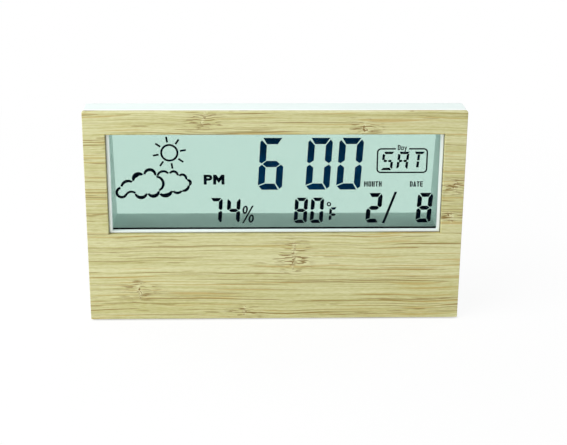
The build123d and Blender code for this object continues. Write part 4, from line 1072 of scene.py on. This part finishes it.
class CLOCK_OT_studio(bpy.types.Operator):
    """Set up the floor, the lamps, the white surround and the camera"""

    bl_idname = "clock.studio"
    bl_label = "Studio"

    def seen(self, tree):
        """1 for what the camera sees directly, in a reflection or through glass."""
        path = add_node(tree, "ShaderNodeLightPath", out=None)
        seen = add_node(
            tree, "ShaderNodeMath", {0: path["Is Camera Ray"], 1: path["Is Glossy Ray"]}, operation="MAXIMUM"
        )
        return add_node(
            tree, "ShaderNodeMath", {0: seen, 1: path["Is Transmission Ray"]}, operation="MAXIMUM"
        )

    def execute(self, context):
        scene = context.scene
        studio = scene.clock_studio

        bm = bmesh.new()
        bmesh.ops.create_grid(bm, x_segments=8, y_segments=8, size=FLOOR_HALF)
        mesh = bpy.data.meshes.new("studio_floor")
        bm.to_mesh(mesh)
        bm.free()
        floor = bpy.data.objects.new("studio_floor", mesh)
        scene.collection.objects.link(floor)

        # White card: plain white to the camera and in reflections, and its shadow deepens under the clock
        material, tree, place = blank_material("studio_white_card")
        distance = add_node(tree, "ShaderNodeVectorMath", {0: place}, operation="LENGTH", out="Value")
        share = add_node(
            tree, "ShaderNodeMapRange",
            {"Value": distance, "From Min": WHITE_FROM, "From Max": WHITE_TO, "To Min": studio.floor_glow},
        )
        share = add_node(tree, "ShaderNodeMath", {0: share, 1: self.seen(tree)}, operation="MULTIPLY")
        outside = add_node(tree, "ShaderNodeVectorMath", {0: place}, operation="ABSOLUTE")
        outside = add_node(tree, "ShaderNodeVectorMath", {0: outside, 1: CAD_BOX[1]}, operation="SUBTRACT")
        outside = add_node(tree, "ShaderNodeSeparateXYZ", {0: outside}, out=None)
        outside = add_node(tree, "ShaderNodeMath", {0: outside["X"], 1: outside["Y"]}, operation="MAXIMUM")
        # Painted shade: the glow fades under the clock's edge, so the floor there is darker besides its real
        # shadow
        near = add_node(
            tree, "ShaderNodeMapRange",
            {"Value": outside, "From Min": PAINTED_SHADOW_FROM, "From Max": PAINTED_SHADOW_TO, "To Min": PAINTED_SHADOW_GLOW},
            interpolation_type="SMOOTHSTEP",
        )
        share = add_node(tree, "ShaderNodeMath", {0: share, 1: near}, operation="MULTIPLY")
        card = add_node(tree, "ShaderNodeBsdfDiffuse", {"Color": linear("F0F1F1")})
        glow = add_node(tree, "ShaderNodeEmission", {"Color": grey(1), "Strength": 1.0})
        shader = add_node(tree, "ShaderNodeMixShader", {0: share, 1: card, 2: glow})
        add_node(tree, "ShaderNodeOutputMaterial", {"Surface": shader}, out=None)
        mesh.materials.append(material)

        world = bpy.data.worlds.new("studio_surround")
        scene.world = world
        world.use_nodes = True
        tree = world.node_tree
        tree.nodes.clear()
        strength = add_node(
            tree, "ShaderNodeMapRange", {"Value": self.seen(tree), "To Min": studio.ambient, "To Max": 1.0}
        )
        surround = add_node(tree, "ShaderNodeBackground", {"Color": grey(1), "Strength": strength})
        add_node(tree, "ShaderNodeOutputWorld", {"Surface": surround}, out=None)

        for name, place, size, power in LAMPS:
            lamp = bpy.data.lights.new(name, "AREA")
            lamp.shape, lamp.size, lamp.energy = "SQUARE", size, getattr(studio, power)
            holder = bpy.data.objects.new(name, lamp)
            scene.collection.objects.link(holder)
            holder.location = place
            holder.rotation_euler = (LAMP_TARGET - Vector(place)).to_track_quat("-Z", "Y").to_euler()

        lens = bpy.data.cameras.new("studio_camera")
        lens.sensor_fit, lens.sensor_width = "HORIZONTAL", 36.0
        lens.lens = studio.focal_pixels * lens.sensor_width / IMAGE_WIDTH
        lens.clip_start, lens.clip_end = 0.01, 20.0
        camera = bpy.data.objects.new("studio_camera", lens)
        scene.collection.objects.link(camera)
        camera.matrix_world = (
            Matrix.Translation(Vector(studio.camera_place))
            @ Matrix.Rotation(-studio.camera_yaw, 4, "Z")
            @ Matrix.Rotation(math.pi / 2 - studio.camera_pitch, 4, "X")
            @ Matrix.Rotation(studio.camera_roll, 4, "Z")
        )
        scene.camera = camera
        scene.view_settings.view_transform = "Standard"
        return {"FINISHED"}


OPERATORS = (
    CLOCK_OT_panel,
    CLOCK_OT_case,
    CLOCK_OT_display,
    CLOCK_OT_electronics,
    CLOCK_OT_power,
    CLOCK_OT_time,
    CLOCK_OT_climate,
    CLOCK_OT_calendar,
    CLOCK_OT_weather,
    CLOCK_OT_studio,
)


class CLOCK_PT_sidebar(bpy.types.Panel):
    """The clock's settings and steps"""

    bl_label = "Bamboo climate clock"
    bl_idname = "CLOCK_PT_sidebar"
    bl_space_type = "VIEW_3D"
    bl_region_type = "UI"
    bl_category = "Clock"

    def draw(self, context):
        layout = self.layout
        for group in (context.scene.clock_finish, context.scene.clock_readout, context.scene.clock_studio):
            box = layout.box()
            for name in group.__annotations__:
                box.prop(group, name)
        for step in OPERATORS:
            layout.operator(step.bl_idname)


GROUPS = (("clock_finish", ClockFinish), ("clock_readout", ClockReadout), ("clock_studio", ClockStudio))


def register():
    for name, group in GROUPS:
        bpy.utils.register_class(group)
        setattr(bpy.types.Scene, name, PointerProperty(type=group))
    for cls in OPERATORS + (CLOCK_PT_sidebar,):
        bpy.utils.register_class(cls)


def unregister():
    for cls in (CLOCK_PT_sidebar,) + OPERATORS[::-1]:
        bpy.utils.unregister_class(cls)
    for name, group in GROUPS[::-1]:
        delattr(bpy.types.Scene, name)
        bpy.utils.unregister_class(group)


def main():
    register()
    bpy.ops.clock.panel()
    bpy.ops.clock.case()
    bpy.ops.clock.display()
    bpy.ops.clock.electronics()
    bpy.ops.clock.power()
    bpy.ops.clock.time()
    bpy.ops.clock.climate()
    bpy.ops.clock.calendar()
    bpy.ops.clock.weather()
    bpy.ops.clock.studio()


if __name__ == "__main__":
    main()
